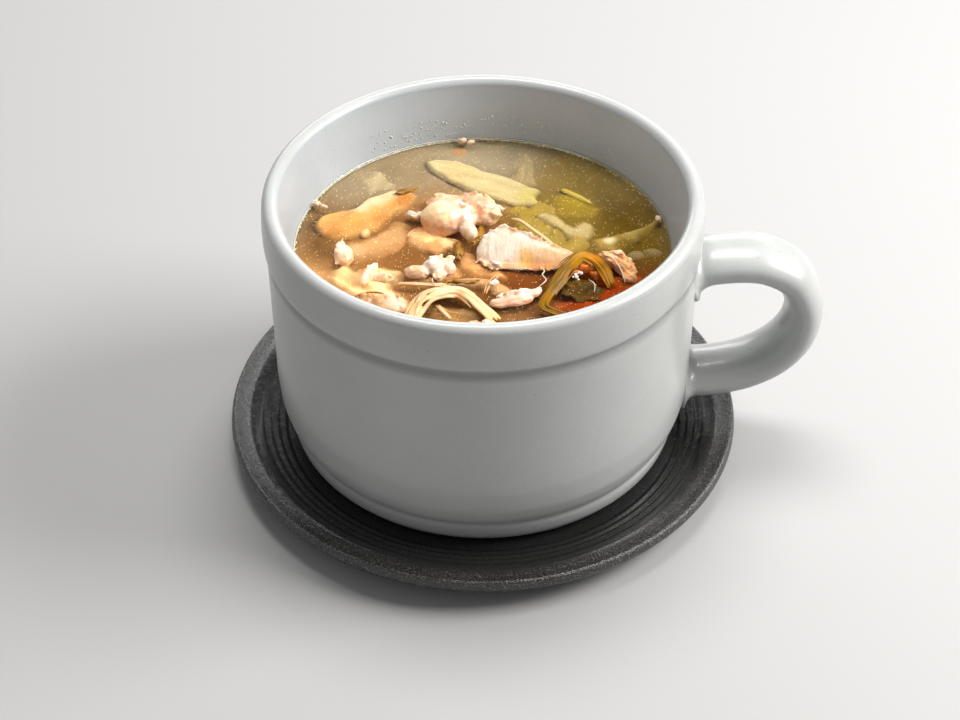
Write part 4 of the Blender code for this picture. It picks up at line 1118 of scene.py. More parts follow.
strands = {
    "arcStrands": {
        "nodes": ["chicken_arc"], "slot": "meat_fibre", "voxel": 0.2, "radius": 0.72, "flat": 0.6,
        "wander": 0.9,
        "path": [(-20.2, -34.6, -0.6), (-19.0, -30.6, 0.1), (-16.6, -26.0, 0.8), (-12.4, -23.4, 1.3),
                 (-7.4, -23.2, 1.4), (-3.6, -25.8, 1.1), (0.2, -30.4, 0.4), (3.4, -34.4, -0.4)],
        "offsets": [(-1.8, -0.3, 0.8), (-1.0, 0.2, 1), (-0.1, 0.1, 0.7), (0.7, 0.3, 1), (1.6, -0.1, 0.9),
                    (2.4, -0.5, 0.4), (-2.4, -0.5, 0.4)],
        "spans": {0: (0, 0.8), 2: (0.2, 1), 5: (0.35, 1), 6: (0.1, 0.6)}, "level": 0.85,
        "tint": (228, 186, 128),
        "patches": [(-9, -23.4, 2, 4, (246, 218, 172), 0.7), (-1, -28, 1.6, 4, (244, 208, 158), 0.7),
                    (-6.5, -24.8, 1.6, 1.8, (214, 140, 54), 0.7), (-17.5, -29, 0.6, 5, (216, 168, 110), 0.7)],
        "finish": {"contrast": 0.34, "relief": 0.5, "reach": 2.0, "fibreScale": 900.0},
    },
    "shredLeft": {
        "nodes": ["shred_left"], "slot": "meat_fibre", "voxel": 0.18, "radius": 0.4, "wander": 0.2,
        "path": [(-24.0, -17.6, -0.2), (-19.0, -18.4, 0.2), (-13.4, -18.9, 0.2), (-9.0, -18.2, -0.1)],
        "offsets": [(-0.35, 0, 1), (0.3, 0.1, 0.9)], "tint": (236, 192, 136), "patches": [],
        "finish": {"contrast": 0.2, "relief": 0.3, "reach": 2.0},
    },
    "shredFront": {
        "nodes": ["shred_front"], "slot": "meat_fibre", "voxel": 0.18, "radius": 0.4, "wander": 0.2,
        "path": [(-12.6, -27.2, -0.3), (-10.8, -30.6, 0.0), (-8.6, -33.6, -0.1)],
        "offsets": [(-0.3, 0, 1), (0.3, 0, 0.9)], "tint": (232, 188, 132), "patches": [],
        "finish": {"contrast": 0.2, "relief": 0.3, "reach": 2.0},
    },
    "shredMiddle": {
        "nodes": ["shred_middle"], "slot": "meat_fibre", "voxel": 0.18, "radius": 0.3, "wander": 0.2,
        "path": [(0.4, -22.6, -0.1), (1.4, -18.8, 0.2), (3.6, -15.2, 0.2), (5.4, -13.4, 0.0)],
        "offsets": [(-0.35, 0, 1), (0.35, 0.05, 0.8)], "tint": (224, 168, 100), "patches": [],
        "finish": {"contrast": 0.2, "relief": 0.3, "reach": 2.0},
    },
    "strandPale": {
        "nodes": ["strand_pale"], "slot": "meat_fibre", "voxel": 0.18, "radius": 0.42, "wander": 0.15,
        "path": [(8.2, 12.6, 0.1), (10.9, 11.0, 0.3), (13.8, 7.7, 0.3), (17.8, 2.8, 0.2), (21.2, -1.6, -0.3)],
        "offsets": [(-0.15, 0, 1), (0.2, 0.05, 0.8)], "tint": (236, 204, 152), "patches": [],
        "finish": {"contrast": 0.12, "relief": 0.3, "reach": 2.4},
    },
    "herbStems": {
        "nodes": ["herb_stems"], "slot": "herb_stem", "voxel": 0.17, "radius": 0.5, "flat": 0.9,
        "wander": 0.4,
        "path": [(25.4, -34.0, -0.6), (20.4, -31.4, -0.2), (16.4, -28.4, 0.2), (18.4, -22.6, 0.6),
                 (21.6, -17.2, 1.5), (24.6, -12.6, 2.8), (28.0, -10.2, 3.8), (31.2, -11.8, 3.6),
                 (33.8, -15.4, 2.4), (36.0, -19.6, 0.0)],
        "offsets": [(-1.5, 0, 0.7), (-0.95, 0.25, 0.8), (-0.4, 0.1, 0.8), (0.3, 0.2, 0.8), (0.9, 0.3, 0.7),
                    (1.5, 0.0, 0.7), (2.1, -0.3, 0.45), (-2.1, -0.2, 0.45), (2.9, -0.5, 0.4),
                    (0.0, 0.6, 0.4)],
        "spans": {4: (0.08, 1), 5: (0.36, 1), 6: (0.42, 0.95), 7: (0.3, 0.86), 8: (0.5, 0.9), 9: (0.4, 1)},
        "tint": (136, 92, 0), "level": 0.86,
        "patches": [(27, -11.5, 3.4, 3.4, (180, 128, 10), 0.85), (31, -12.5, 3.8, 2.8, (190, 116, 8), 0.8),
                    (34.5, -17, 1.6, 3.2, (184, 124, 24), 0.7), (19.5, -20, 1, 4, (116, 84, 0), 0.8),
                    (17, -28.5, 0.4, 3.0, (122, 90, 4), 0.7), (24, -33.4, 0, 4, (92, 62, 0), 0.8)],
        "finish": {"contrast": 1.0, "relief": 0.9, "reach": 3.0, "subsurface": 0.05, "wet": 0.06,
                   "rough": -0.08, "specular": 0.1,
                   "radius": (1.0, 0.6, 0.1), "fibreScale": 800.0},
    },
}
for name, s in strands.items():
    strandMesh = fibreBundle(s)
    paintPiece(strandMesh, s["tint"], s["patches"], level=s.get("level", 0.75))
    addPiece(name, strandMesh, foodMaterial(name, follows="course", **s["finish"]), s["nodes"])
print("strands and stems made")


# The limp leaf under the stems

leaf = {
    "centre": (27.2, -20.6, -0.5), "length": 7.0, "width": 5.6, "thickness": 0.3, "wave": 0.5, "turn": -24,
    "columns": 72, "rows": 56, "tint": (78, 58, 6),
}


def leafMesh():
    shape = bmesh.new()
    bmesh.ops.create_grid(shape, x_segments=leaf["columns"], y_segments=leaf["rows"], size=1.0)
    for vertex in shape.verts:
        x, y = vertex.co.x, vertex.co.y
        roundX, roundY = x * math.sqrt(1 - y * y / 2), y * math.sqrt(1 - x * x / 2)
        reach = math.hypot(roundX, roundY)
        angle = math.atan2(roundY, roundX)
        lobes = 1 - 0.2 * reach ** 3 * (0.5 + 0.5 * math.sin(angle * 7 + 1.3)) \
            - 0.08 * reach ** 6 * (0.5 + 0.5 * math.sin(angle * 23))
        wave = math.sin(roundX * 4.2) * math.cos(roundY * 3.1) + 0.5 * math.sin(roundY * 6)
        crumple = noise.fractal(Vector((roundX * 3, roundY * 3, 1)), 1.0, 2.0, 4) * 0.7
        vertex.co = (leaf["length"] * roundX * lobes * mm, leaf["width"] * roundY * lobes * mm,
                     (leaf["wave"] * wave + crumple) * mm)
    turned = Matrix.Translation(inBowl(*leaf["centre"])) @ Matrix.Rotation(math.radians(leaf["turn"]), 4, "Z")
    bmesh.ops.transform(shape, matrix=turned, verts=shape.verts)
    return finished(meshOf(shape, "leaf"), [("SOLIDIFY", {"thickness": leaf["thickness"] * mm, "offset": 0})])


leafSheet = leafMesh()
paintPiece(leafSheet, leaf["tint"], [(25, -17, 0, 3, (112, 84, 10), 0.6), (30, -24, 0, 3, (92, 60, 12), 0.6)])
addPiece("herbLeaf", leafSheet, foodMaterial(
    "herbLeaf", fibreScale=900.0, contrast=0.7, blotch=0.5, relief=0.7, reach=5.0, subsurface=0.05, wet=0.1,
    rough=-0.05, specular=0.12), ["herb_leaf"])
print("leaf made")


# What lies wholly in the soup: outlines in mm from the mug's axis, soft where they sink into the
# cloud. Soft is the width of that edge, fold the height of the waves on top, and turn their direction

def insideShare(px, py, outline):
    # the signed distance to the outline in mm, more than 0 inside
    inside = np.zeros(px.shape, bool)
    nearest = np.full(px.shape, 1e9)
    for (ax, ay), (bx, by) in zip(outline, outline[1:] + outline[:1]):
        dx, dy = bx - ax, by - ay
        share = np.clip(((px - ax) * dx + (py - ay) * dy) / (dx * dx + dy * dy + 1e-9), 0, 1)
        nearest = np.minimum(nearest, np.hypot(px - ax - share * dx, py - ay - share * dy))
        crosses = (ay > py) != (by > py)
        with np.errstate(divide="ignore", invalid="ignore"):
            inside ^= crosses & (px < (bx - ax) * (py - ay) / (by - ay + 1e-12) + ax)
    return np.where(inside, nearest, -nearest)


slabs = {
    "cell": 0.45, "thickness": 0.4,
    "ragged": 2.6,                   # size of the waves along an edge
    "foldAlong": 15, "foldAcross": 4.5,
    "crown": 0.8, "crownRun": 1.6,   # how far the edge drops, and over what distance
    "cover": 0.35,                   # the least broth over it, and how far its rim goes into the cloud
    "gap": 0.6,                      # to the mug's wall
}


def softSlab(s):
    cell, cover = slabs["cell"], slabs["cover"]
    outline = [(p.x, p.y) for p in closedThrough([Vector((x, y, 0)) for x, y in s["outline"]], 5)]
    xs, ys = np.array(outline).T
    soft = s["soft"]
    gridX = np.arange(xs.min() - soft - cell, xs.max() + soft + cell, cell)
    gridY = np.arange(ys.min() - soft - cell, ys.max() + soft + cell, cell)
    px, py = np.meshgrid(gridX, gridY, indexing="ij")
    away = insideShare(px, py, outline)
    run = math.radians(s.get("turn", 0))
    shape = bmesh.new()
    corners, share = {}, []
    for i in range(len(gridX)):
        for j in range(len(gridY)):
            if away[i, j] < -soft or math.hypot(px[i, j], py[i, j]) > bowlRadius - slabs["gap"]:
                continue
            x, y = px[i, j], py[i, j]
            along, across = x * math.cos(run) + y * math.sin(run), y * math.cos(run) - x * math.sin(run)
            edge = away[i, j] + soft * 0.5 * noise.noise(Vector((x, y, 7)) / slabs["ragged"])
            t = min(max((edge + soft) / (2 * soft), 0), 1)
            ease = t * t * (3 - 2 * t)
            key = Vector((along / slabs["foldAlong"], across / slabs["foldAcross"], s["lift"]))
            fold = noise.fractal(key, 1.0, 2.0, 3) * s.get("fold", 0.8)
            low = depthsLift(x, y, math.hypot(x, y)) - cover
            drop = s.get("crown", slabs["crown"]) * math.exp(-max(edge, 0) / slabs["crownRun"])
            top = min(s["lift"] + fold - drop, -cover)
            corners[i, j] = shape.verts.new(inBowl(x, y, low + (max(top, low) - low) * ease))
            share.append(1 - ease)
    for i, j in corners:
        square = [corners.get(k) for k in ((i, j), (i + 1, j), (i + 1, j + 1), (i, j + 1))]
        if None not in square:
            shape.faces.new(square)
    layer = shape.verts.layers.float.new("haze")
    for vertex, value in zip(shape.verts, share):
        vertex[layer] = value
    bmesh.ops.delete(shape, geom=[v for v in shape.verts if not v.link_faces], context="VERTS")
    return finished(meshOf(shape, "slab"),
                    [("SOLIDIFY", {"thickness": slabs["thickness"] * mm, "offset": -1})])


sunk = [
    {"name": "onionSlice", "lift": -0.84, "turn": -18, "fold": 0.5, "soft": 0.9, "crown": 0.3,
     "tint": (218, 204, 158), "level": 0.58,
     "outline": [(-16, 44.1), (-7.9, 43.5), (0.1, 38.6), (8, 34.7), (13.9, 30.5), (17, 28.2),
                 (15.5, 25.1), (15.6, 21.2), (9.1, 20.8), (2.7, 24.2), (-5.2, 29.1), (-11.8, 34.7),
                 (-16.6, 40.5)],
     "patches": [(13.8, 24.7, -1, 4.4, (216, 204, 120), 0.7), (-6.6, 37.3, -1, 7, (214, 190, 138), 0.6)],
     "finish": {"contrast": 0.3, "reach": 3.6, "fibreScale": 600.0}},
    {"name": "goldenSkin", "lift": -0.7, "turn": 36, "fold": 1.3, "soft": 1.1, "tint": (240, 186, 114),
     "level": 0.54, "crown": 0.3,
     "outline": [(-48.8, 11.2), (-47.6, 15), (-42.5, 17.7), (-37.6, 19.1), (-35.4, 22.7),
                 (-30.5, 25.9), (-26.2, 28.1), (-22.4, 27.2), (-19.9, 25.1), (-22.2, 19.8),
                 (-25.8, 16.4), (-28.7, 11.2), (-31.6, 8.1), (-35.8, 6.3), (-38.7, 4.9), (-42.3, 3.9),
                 (-46, 5.9), (-48.3, 8.7)],
     "patches": [(-35.8, 19.1, -0.7, 3.4, (255, 226, 190), 1.0),
                 (-31.6, 22.5, -0.7, 3.4, (255, 226, 190), 1.0),
                 (-27.4, 25.1, -0.7, 3.4, (252, 218, 178), 1.0), (-22.9, 22.5, -0.7, 4, (206, 128, 50), 0.8),
                 (-44.3, 7.4, -0.7, 4.4, (216, 146, 78), 0.7), (-37.9, 12, -0.7, 4, (238, 182, 106), 0.8),
                 (-29.4, 13.1, -0.7, 3.4, (212, 142, 76), 0.7)],
     "finish": {"contrast": 0.2, "reach": 3.2, "fibreScale": 500.0}},
    {"name": "goldenLobe", "lift": -0.7, "turn": 40, "fold": 0.6, "soft": 0.8, "tint": (246, 204, 146),
     "level": 0.66,
     "outline": [(-35.9, 7.8), (-35.1, 5.4), (-33.2, 6.2), (-31.7, 10.2), (-29.5, 16.5), (-27, 23),
                 (-28.8, 23.4), (-31.4, 17.7), (-34.3, 11.5)],
     "patches": [(-34.6, 6.6, -1, 2.4, (250, 218, 168), 0.9)],
     "finish": {"contrast": 0.12, "reach": 3.2, "fibreScale": 500.0}},
    {"name": "cabbagePiece", "lift": -1.82, "turn": 60, "fold": 1.2, "soft": 1.4, "tint": (214, 198, 158),
     "level": 0.54,
     "outline": [(-36.1, 32.7), (-34.6, 36.9), (-33, 40), (-30.7, 37.7), (-27.1, 33.1), (-26.8, 30.3),
                 (-30.6, 29), (-33.1, 27), (-35.2, 29.2)],
     "patches": [(-34, 42, -2, 3.0, (232, 218, 178), 0.8)],
     "finish": {"contrast": 0.3, "reach": 3.6, "fibreScale": 400.0}},
    {"name": "carrotBit", "lift": -2.24, "soft": 1.4, "tint": (204, 140, 74),
     "outline": [(-10.2, 47.0), (-10.0, 51.4), (-4.8, 51.2), (-4.6, 46.8)], "patches": [],
     "finish": {"contrast": 0.1, "reach": 3.6}},
    {"name": "celeryPiece", "lift": -1.54, "turn": -30, "fold": 1.2, "soft": 2.2, "tint": (186, 160, 56),
     "level": 0.52,
     "outline": [(21.7, 26), (24.9, 26.9), (32.6, 22.6), (34.3, 18.2), (32.2, 14.7), (27, 14.4),
                 (23.3, 17.1), (20.8, 21.5)],
     "patches": [(26.7, 22.1, -2, 3.4, (200, 178, 50), 0.8)],
     "finish": {"contrast": 0.3, "reach": 2.7, "fibreScale": 400.0}},
    {"name": "paleWisp", "lift": -1.68, "turn": 80, "fold": 1.2, "soft": 1.6, "tint": (206, 184, 142),
     "level": 0.5,
     "outline": [(8.3, 32.5), (10.4, 40.6), (12.2, 47.7), (13.9, 49.4), (15.5, 42.9), (16.2, 32.5),
                 (13.2, 31.3)],
     "patches": [], "finish": {"contrast": 0.8, "reach": 2.9, "fibreScale": 500.0}},
    {"name": "stalkEdge", "lift": -0.5, "turn": -34, "fold": 0.3, "soft": 0.5, "tint": (214, 196, 90),
     "level": 0.66,
     "outline": [(23.1, 28.9), (25, 28.9), (28.9, 26.2), (32.1, 22.6), (31.3, 21.3), (27.5, 24.2),
                 (23.7, 27.4)],
     "patches": [], "finish": {"contrast": 0.2, "reach": 3.6, "fibreScale": 400.0}},
    {"name": "onionFold", "lift": -1.12, "turn": -30, "fold": 0.4, "soft": 1.5, "tint": (226, 206, 160),
     "level": 0.72,
     "outline": [(15.5, 15.7), (18.5, 17.6), (21.9, 15.1), (25, 11.6), (27.2, 10.7), (29.6, 13.1),
                 (32.4, 10), (31.9, 6.2), (29.1, 3.6), (24.2, 5.6), (21.7, 9), (18, 12.6)],
     "patches": [(22, 20, -2, 3, (198, 176, 120), 0.6)],
     "finish": {"contrast": 0.2, "reach": 2.0, "fibreScale": 400.0}},
    {"name": "greenSheet", "lift": -2.24, "turn": 60, "fold": 1.4, "soft": 2.0, "tint": (186, 162, 84),
     "level": 0.68,
     "outline": [(6.6, 22.6), (12, 25), (20, 22), (24, 14), (33, 6), (28, -2), (16, 0), (8, 8)],
     "patches": [(11, 18, -3, 6, (178, 152, 60), 0.7)],
     "finish": {"contrast": 0.2, "reach": 3.6, "fibreScale": 400.0}},
    {"name": "largeLeaf", "lift": -0.63, "turn": 40, "fold": 0.7, "soft": 1.2, "tint": (164, 140, 74),
     "level": 0.95,
     "outline": [(31.5, 3.9), (35.6, 5.4), (40.8, 7.3), (46.1, 10.1), (51.6, 13.8), (47.6, 7.7),
                 (43.5, 2.4), (39.6, -2.1), (34, -1.7), (32, 0.8)],
     # the first patch, the near-white spot at (36.7, 3), is a painted highlight: the glint on the leaf's wet
     # bulge under the surface
     "patches": [(36.7, 3, -1, 2.2, (236, 224, 190), 0.9), (42.7, 7.7, -1, 2.6, (188, 168, 110), 0.8),
                 (48.7, 11.5, -1, 2.6, (182, 160, 98), 0.8), (40.4, 0.9, -1, 3.4, (112, 88, 10), 0.8)],
     "finish": {"contrast": 0.25, "reach": 2.9, "fibreScale": 400.0}},
    {"name": "paleBean", "lift": -0.7, "turn": 10, "fold": 0.3, "soft": 0.8, "tint": (196, 174, 126),
     "outline": [(40.6, -4.6), (42.0, -2.0), (45, -1.4), (46.4, -3.6), (44.4, -5.6)],
     "patches": [], "finish": {"contrast": 0.15, "reach": 2.5}},
    {"name": "paleBeanHalf", "lift": -0.91, "turn": 10, "fold": 0.3, "soft": 0.8, "tint": (184, 164, 118),
     "outline": [(45.6, -1.2), (48.6, 0.0), (51.0, -1.4), (50.6, -3.4), (47.0, -3.6)],
     "patches": [], "finish": {"contrast": 0.15, "reach": 2.5}},
    {"name": "tomatoPiece", "lift": -0.98, "turn": 30, "fold": 1.6, "soft": 2.0, "tint": (234, 92, 4),
     "level": 0.34,
     "outline": [(18.1, -28.9), (24.1, -22.4), (31.9, -18.6), (36.8, -13.9), (41, -12), (45.7, -13.1),
                 (43.5, -19.6), (36.1, -26.1), (29, -30.7), (22, -32.1)],
     "patches": [(25.1, -28.2, -1, 4, (176, 74, 8), 0.8), (41.4, -16.1, -1, 5, (255, 116, 20), 0.8),
                 (40.2, -17, -1, 2, (104, 74, 8), 0.8)],
     "finish": {"contrast": 0.5, "reach": 2.9, "fibreScale": 300.0, "blotch": 0.9}},
    {"name": "sunkRod", "lift": -1.12, "turn": 36, "fold": 0.8, "soft": 2.0, "tint": (242, 190, 134),
     "level": 0.48,
     "outline": [(-40.2, 0.8), (-35, 3.7), (-29.1, 8.2), (-26.2, 12.5), (-23.2, 13.3), (-21.1, 9.2),
                 (-21.7, 3.2), (-25.1, -0.8), (-29.8, -3.4), (-35.1, -5.8), (-39.5, -5.4)],
     "patches": [(-37.1, -1.9, -1, 4, (250, 208, 160), 0.7), (-27.8, 5.1, -1, 5, (246, 196, 142), 0.7)],
     "finish": {"contrast": 0.1, "reach": 3.6, "fibreScale": 500.0}},
    {"name": "sunkChunk", "lift": -0.91, "turn": 10, "fold": 0.9, "soft": 1.8, "tint": (236, 180, 124),
     "outline": [(-21, -10.4), (-16, -9), (-9.6, -8.6), (-6.4, -11), (-8, -15), (-13, -17), (-19, -16.4),
                 (-22, -14)],
     "patches": [], "finish": {"contrast": 0.2, "reach": 2.9, "fibreScale": 400.0}},
    {"name": "sunkLobe", "lift": -0.63, "turn": -20, "fold": 0.9, "soft": 1.0, "tint": (244, 184, 130),
     "level": 0.56,
     "outline": [(-22.2, 3), (-20.6, 8.1), (-18.3, 10.6), (-16.4, 7), (-13.3, 5.5), (-9.6, 4.8),
                 (-6.1, 3), (-6.9, -0.5), (-9.6, -0), (-11.4, -2.5), (-13.7, -3), (-16.8, -1.5),
                 (-20.4, 0.5)],
     "patches": [(-18.1, 4.6, -1, 4, (248, 200, 148), 0.8), (-12.6, 1.6, -1, 3, (240, 188, 116), 0.7)],
     "finish": {"contrast": 0.16, "reach": 2.9, "fibreScale": 400.0}},
    {"name": "sunkLeftMeat", "lift": -0.7, "turn": -40, "fold": 1.6, "soft": 2.0, "tint": (248, 206, 156),
     "level": 0.86,
     "outline": [(-43.5, -14.5), (-41.8, -8.7), (-39.1, -6.8), (-36.6, -11.1), (-33.2, -9.2),
                 (-29, -8.7), (-23.6, -11.1), (-23.2, -15.1), (-25.7, -17.8), (-23.3, -21.5),
                 (-19.6, -26.2), (-20.7, -29.1), (-25.3, -28.4), (-31.2, -26.2), (-36, -22.6),
                 (-39.1, -19.8), (-42.1, -17.2)],
     "patches": [(-29.4, -14.6, -1, 5, (246, 208, 160), 0.8), (-39.3, -15.5, -1, 5, (226, 186, 136), 0.8),
                 (-26, -25.9, -1, 4, (246, 200, 156), 0.8)],
     "finish": {"contrast": 0.16, "reach": 3.2, "fibreScale": 400.0}},
    {"name": "sunkStrips", "lift": -0.7, "turn": 8, "fold": 1.0, "soft": 1.3, "tint": (244, 196, 142),
     "level": 0.62,
     "outline": [(-11.7, -17.9), (-9.4, -15.2), (-2.9, -13.7), (2.4, -14.7), (7, -17.9), (9.3, -22.6),
                 (4.7, -21.7), (-1.2, -18.5), (-7, -18.8)],
     "patches": [], "finish": {"contrast": 0.4, "reach": 2.9, "fibreScale": 400.0}},
    {"name": "sunkStripsBack", "lift": -1.1, "turn": 20, "fold": 1.0, "soft": 1.3, "tint": (236, 176, 120),
     "level": 0.66,
     "outline": [(-7.2, -0.8), (-3.6, -2.4), (-1.2, -6.3), (4.2, -8.7), (6.5, -14.4), (-1.2, -13),
                 (-5.3, -10.6), (-8, -5.7)],
     "patches": [], "finish": {"contrast": 0.4, "reach": 2.9, "fibreScale": 400.0}},
    {"name": "sunkStripsFront", "lift": -1.4, "turn": -12, "fold": 1.2, "soft": 2.0,
     "tint": (226, 172, 112), "level": 0.42,
     "outline": [(-14, -27.6), (-6, -27.4), (1, -25.4), (3, -29.6), (-2, -34.6), (-12, -34.8)],
     "patches": [(-4, -30, -2, 4, (234, 186, 132), 0.6)],
     "finish": {"contrast": 0.3, "reach": 3.2, "fibreScale": 400.0}},
]
for s in sunk:
    slab = softSlab(s)
    haze = np.empty(len(slab.vertices), np.float32)
    slab.attributes["haze"].data.foreach_get("value", haze)
    slab.attributes.remove(slab.attributes["haze"])
    paintPiece(slab, s["tint"], s["patches"], haze=haze, level=s.get("level", 0.62))
    addPiece(s["name"], slab, foodMaterial(s["name"], fibreTurn=s.get("turn", 0), subsurface=0.0, wet=0.0,
                                           rough=0.15, specular=0.03, **s["finish"]))
print("sunk pieces made")


# Small bits: crumbs on the wall, threads and torn scraps, each scrap as x, y, lift, half sizes,
# turn and seed, and each thread as a path of x, y, lift and its radius, all in mm

def scrap(shape, x, y, lift, size, turn, seed, ragged):
    place = Matrix.Translation(inBowl(x, y, lift)) @ Matrix.Rotation(math.radians(turn), 4, "Z") \
        @ Matrix.Diagonal((size[0] * mm, size[1] * mm, size[2] * mm, 1))
    made = bmesh.ops.create_icosphere(shape, subdivisions=3, radius=1.0)["verts"]
    for vertex in made:
        swell = 1 + ragged * noise.fractal(vertex.co * 1.7 + Vector((seed, 0, 0)), 1.0, 2.0, 3)
        vertex.co = place @ (vertex.co * swell)


bits = [
    {"name": "wallCrumbs", "slot": "white_meat", "tint": (246, 208, 172),
     "scraps": [(-48.9, 18.6, 0.9, (1.2, 0.9, 0.8), 20, 1), (-46.8, 17.9, 0.5, (1.1, 0.7, 0.6), -10, 2),
                (-6.4, 52.0, 1.0, (1.5, 0.9, 0.8), 0, 3), (-3.8, 51.6, 0.6, (1.3, 0.8, 0.7), 30, 4),
                (51.0, 11.4, 0.9, (0.8, 1.2, 0.8), 20, 5)]},
    {"name": "whiteScraps", "slot": "white_meat", "tint": (252, 236, 214),
     "scraps": [(3.0, -18.1, 0.4, (1.6, 0.9, 0.7), 30, 6), (5.7, -24.1, 0.3, (1.8, 1.1, 0.7), 20, 7),
                (8.8, -25.2, 0.6, (0.9, 0.6, 0.5), 0, 8), (-20.6, 14.4, 0.4, (2.0, 1.0, 0.8), -24, 9),
                (-17.2, 14.6, 0.5, (2.2, 1.3, 0.8), 20, 10), (4.6, 17.4, 0.5, (1.8, 0.9, 0.7), -30, 11),
                (3.6, -9.6, 0.5, (2.0, 0.8, 0.7), -40, 12)]},
    {"name": "amberSkin", "slot": "herb_stem", "tint": (232, 120, 26),
     "scraps": [(28.6, -13.4, 1.6, (2.6, 1.3, 1.6), -6, 21), (31.4, -15.4, 0.8, (1.6, 1.0, 1.2), -30, 22),
                (26.0, -14.8, 0.9, (1.6, 1.0, 1.2), 40, 23)]},
    {"name": "herbScraps", "slot": "herb_leaf", "ragged": 1.1, "tint": (166, 114, 14),
     "scraps": [(-1.2, 4.6, 0.5, (1.0, 3.0, 0.5), -16, 13), (-2.4, 1.4, 0.2, (1.1, 2.2, 0.5), -30, 14),
                (-7.2, -3.6, 0.2, (1.2, 3.2, 0.5), 10, 15), (-9.4, -17.6, 0.3, (1.8, 0.6, 0.4), 4, 16),
                (-4.6, -17.8, 0.5, (3.4, 0.7, 0.4), 6, 17), (-22.6, 26.4, 0.1, (2.8, 1.0, 0.4), 16, 18)]},
]
for bit in bits:
    bitShape = bmesh.new()
    for item in bit["scraps"]:
        scrap(bitShape, *item, bit.get("ragged", 0.45))
    bitMesh = meshOf(bitShape, bit["name"])
    paintPiece(bitMesh, bit["tint"])
    addPiece(bit["name"], bitMesh, foodMaterial(bit["name"], contrast=0.3, relief=0.6, reach=3.0))

threads = [
    ([(16.1, -10.4, 0.2), (17.2, -12.6, 0.3), (16.6, -14.4, 0.3), (17.6, -16.8, 0.3), (15.6, -19.4, 0.1)],
     0.2),
    ([(31.6, -12.2, 2.6), (33.0, -14.6, 2.2), (33.8, -18.6, 0.6)], 0.2),
    ([(37.0, -11.0, 2.6), (38.6, -14.0, 1.8), (39.6, -18.2, 0.4)], 0.22),
    ([(29.4, -17.6, 1.2), (31.0, -19.6, 1.0), (30.8, -22.4, 0.4)], 0.18),
    ([(-36.6, -29.0, 0.5), (-36.4, -26.4, 1.2), (-33.0, -24.6, 1.8), (-28.6, -24.6, 2.0),
      (-25.6, -26.4, 1.8)], 0.34),
    ([(-13.4, -19.4, 0.8), (-14.2, -18.2, 1.2), (-14.0, -17.2, 1.3)], 0.2),
]
threadShape = bmesh.new()
for path, radius in threads:
    line = through([inBowl(*p) for p in path], 6)
    sweep(threadShape, line, tapered(len(line), radius * mm), sides=8)
threadMesh = outward(meshOf(threadShape, "threads"))
paintPiece(threadMesh, (246, 218, 184), [(-31, -26.4, 1.4, 7.4, (186, 122, 22), 1.0)])
addPiece("paleThreads", threadMesh, foodMaterial("paleThreads", contrast=0.1, reach=3.0))
print("bits and threads made")


# Fine specks, fat drops and froth, and white specks and beads as painted glints, scattered by one tree of
# geometry nodes

def scatterTree():
    tree = bpy.data.node_groups.new("scatterDrops", "GeometryNodeTree")
    face = tree.interface
    face.new_socket("Geometry", in_out="INPUT", socket_type="NodeSocketGeometry")
    for label, kind, default in (("Density", "NodeSocketFloat", 1e5),
                                 ("Least Size", "NodeSocketFloat", 0.0001),
                                 ("Most Size", "NodeSocketFloat", 0.0002),
                                 ("Spread Down", "NodeSocketFloat", 0.001),
                                 ("Flatness", "NodeSocketFloat", 1.0), ("Seed", "NodeSocketInt", 1),
                                 ("Rings", "NodeSocketInt", 1), ("Material", "NodeSocketMaterial", None)):
        socket = face.new_socket(label, in_out="INPUT", socket_type=kind)
        if default is not None:
            socket.default_value = default
    face.new_socket("Geometry", in_out="OUTPUT", socket_type="NodeSocketGeometry")
    start, end = tree.nodes.new("NodeGroupInput"), tree.nodes.new("NodeGroupOutput")
    spread = addNode(tree, "GeometryNodeDistributePointsOnFaces", {
        "Mesh": start.outputs["Geometry"], "Density": start.outputs["Density"],
        "Seed": start.outputs["Seed"]})
    sink = addNode(tree, "FunctionNodeRandomValue", {
        "Min": start.outputs["Spread Down"], "Max": 0.0, "Seed": start.outputs["Seed"]}, data_type="FLOAT")
    down = addNode(tree, "ShaderNodeMath", {0: sink.outputs[1], 1: -1.0}, operation="MULTIPLY")
    shift = addNode(tree, "ShaderNodeCombineXYZ", {2: down.outputs[0]})
    moved = addNode(tree, "GeometryNodeSetPosition", {
        "Geometry": spread.outputs["Points"], "Offset": shift.outputs[0]})
    size = addNode(tree, "FunctionNodeRandomValue", {
        2: start.outputs["Least Size"], 3: start.outputs["Most Size"], "Seed": start.outputs["Seed"]},
        data_type="FLOAT")
    flatten = addNode(tree, "ShaderNodeMath", {0: size.outputs[1], 1: start.outputs["Flatness"]},
                      operation="MULTIPLY")
    scale = addNode(tree, "ShaderNodeCombineXYZ", {
        0: size.outputs[1], 1: size.outputs[1], 2: flatten.outputs[0]})
    ball = addNode(tree, "GeometryNodeMeshIcoSphere", {"Radius": 1.0, "Subdivisions": start.outputs["Rings"]})
    copies = addNode(tree, "GeometryNodeInstanceOnPoints", {
        "Points": moved.outputs["Geometry"], "Instance": ball.outputs["Mesh"], "Scale": scale.outputs[0]})
    real = addNode(tree, "GeometryNodeRealizeInstances", {"Geometry": copies.outputs["Instances"]})
    dressed = addNode(tree, "GeometryNodeSetMaterial", {
        "Geometry": real.outputs["Geometry"], "Material": start.outputs["Material"]})
    tree.links.new(dressed.outputs["Geometry"], end.inputs["Geometry"])
    return tree


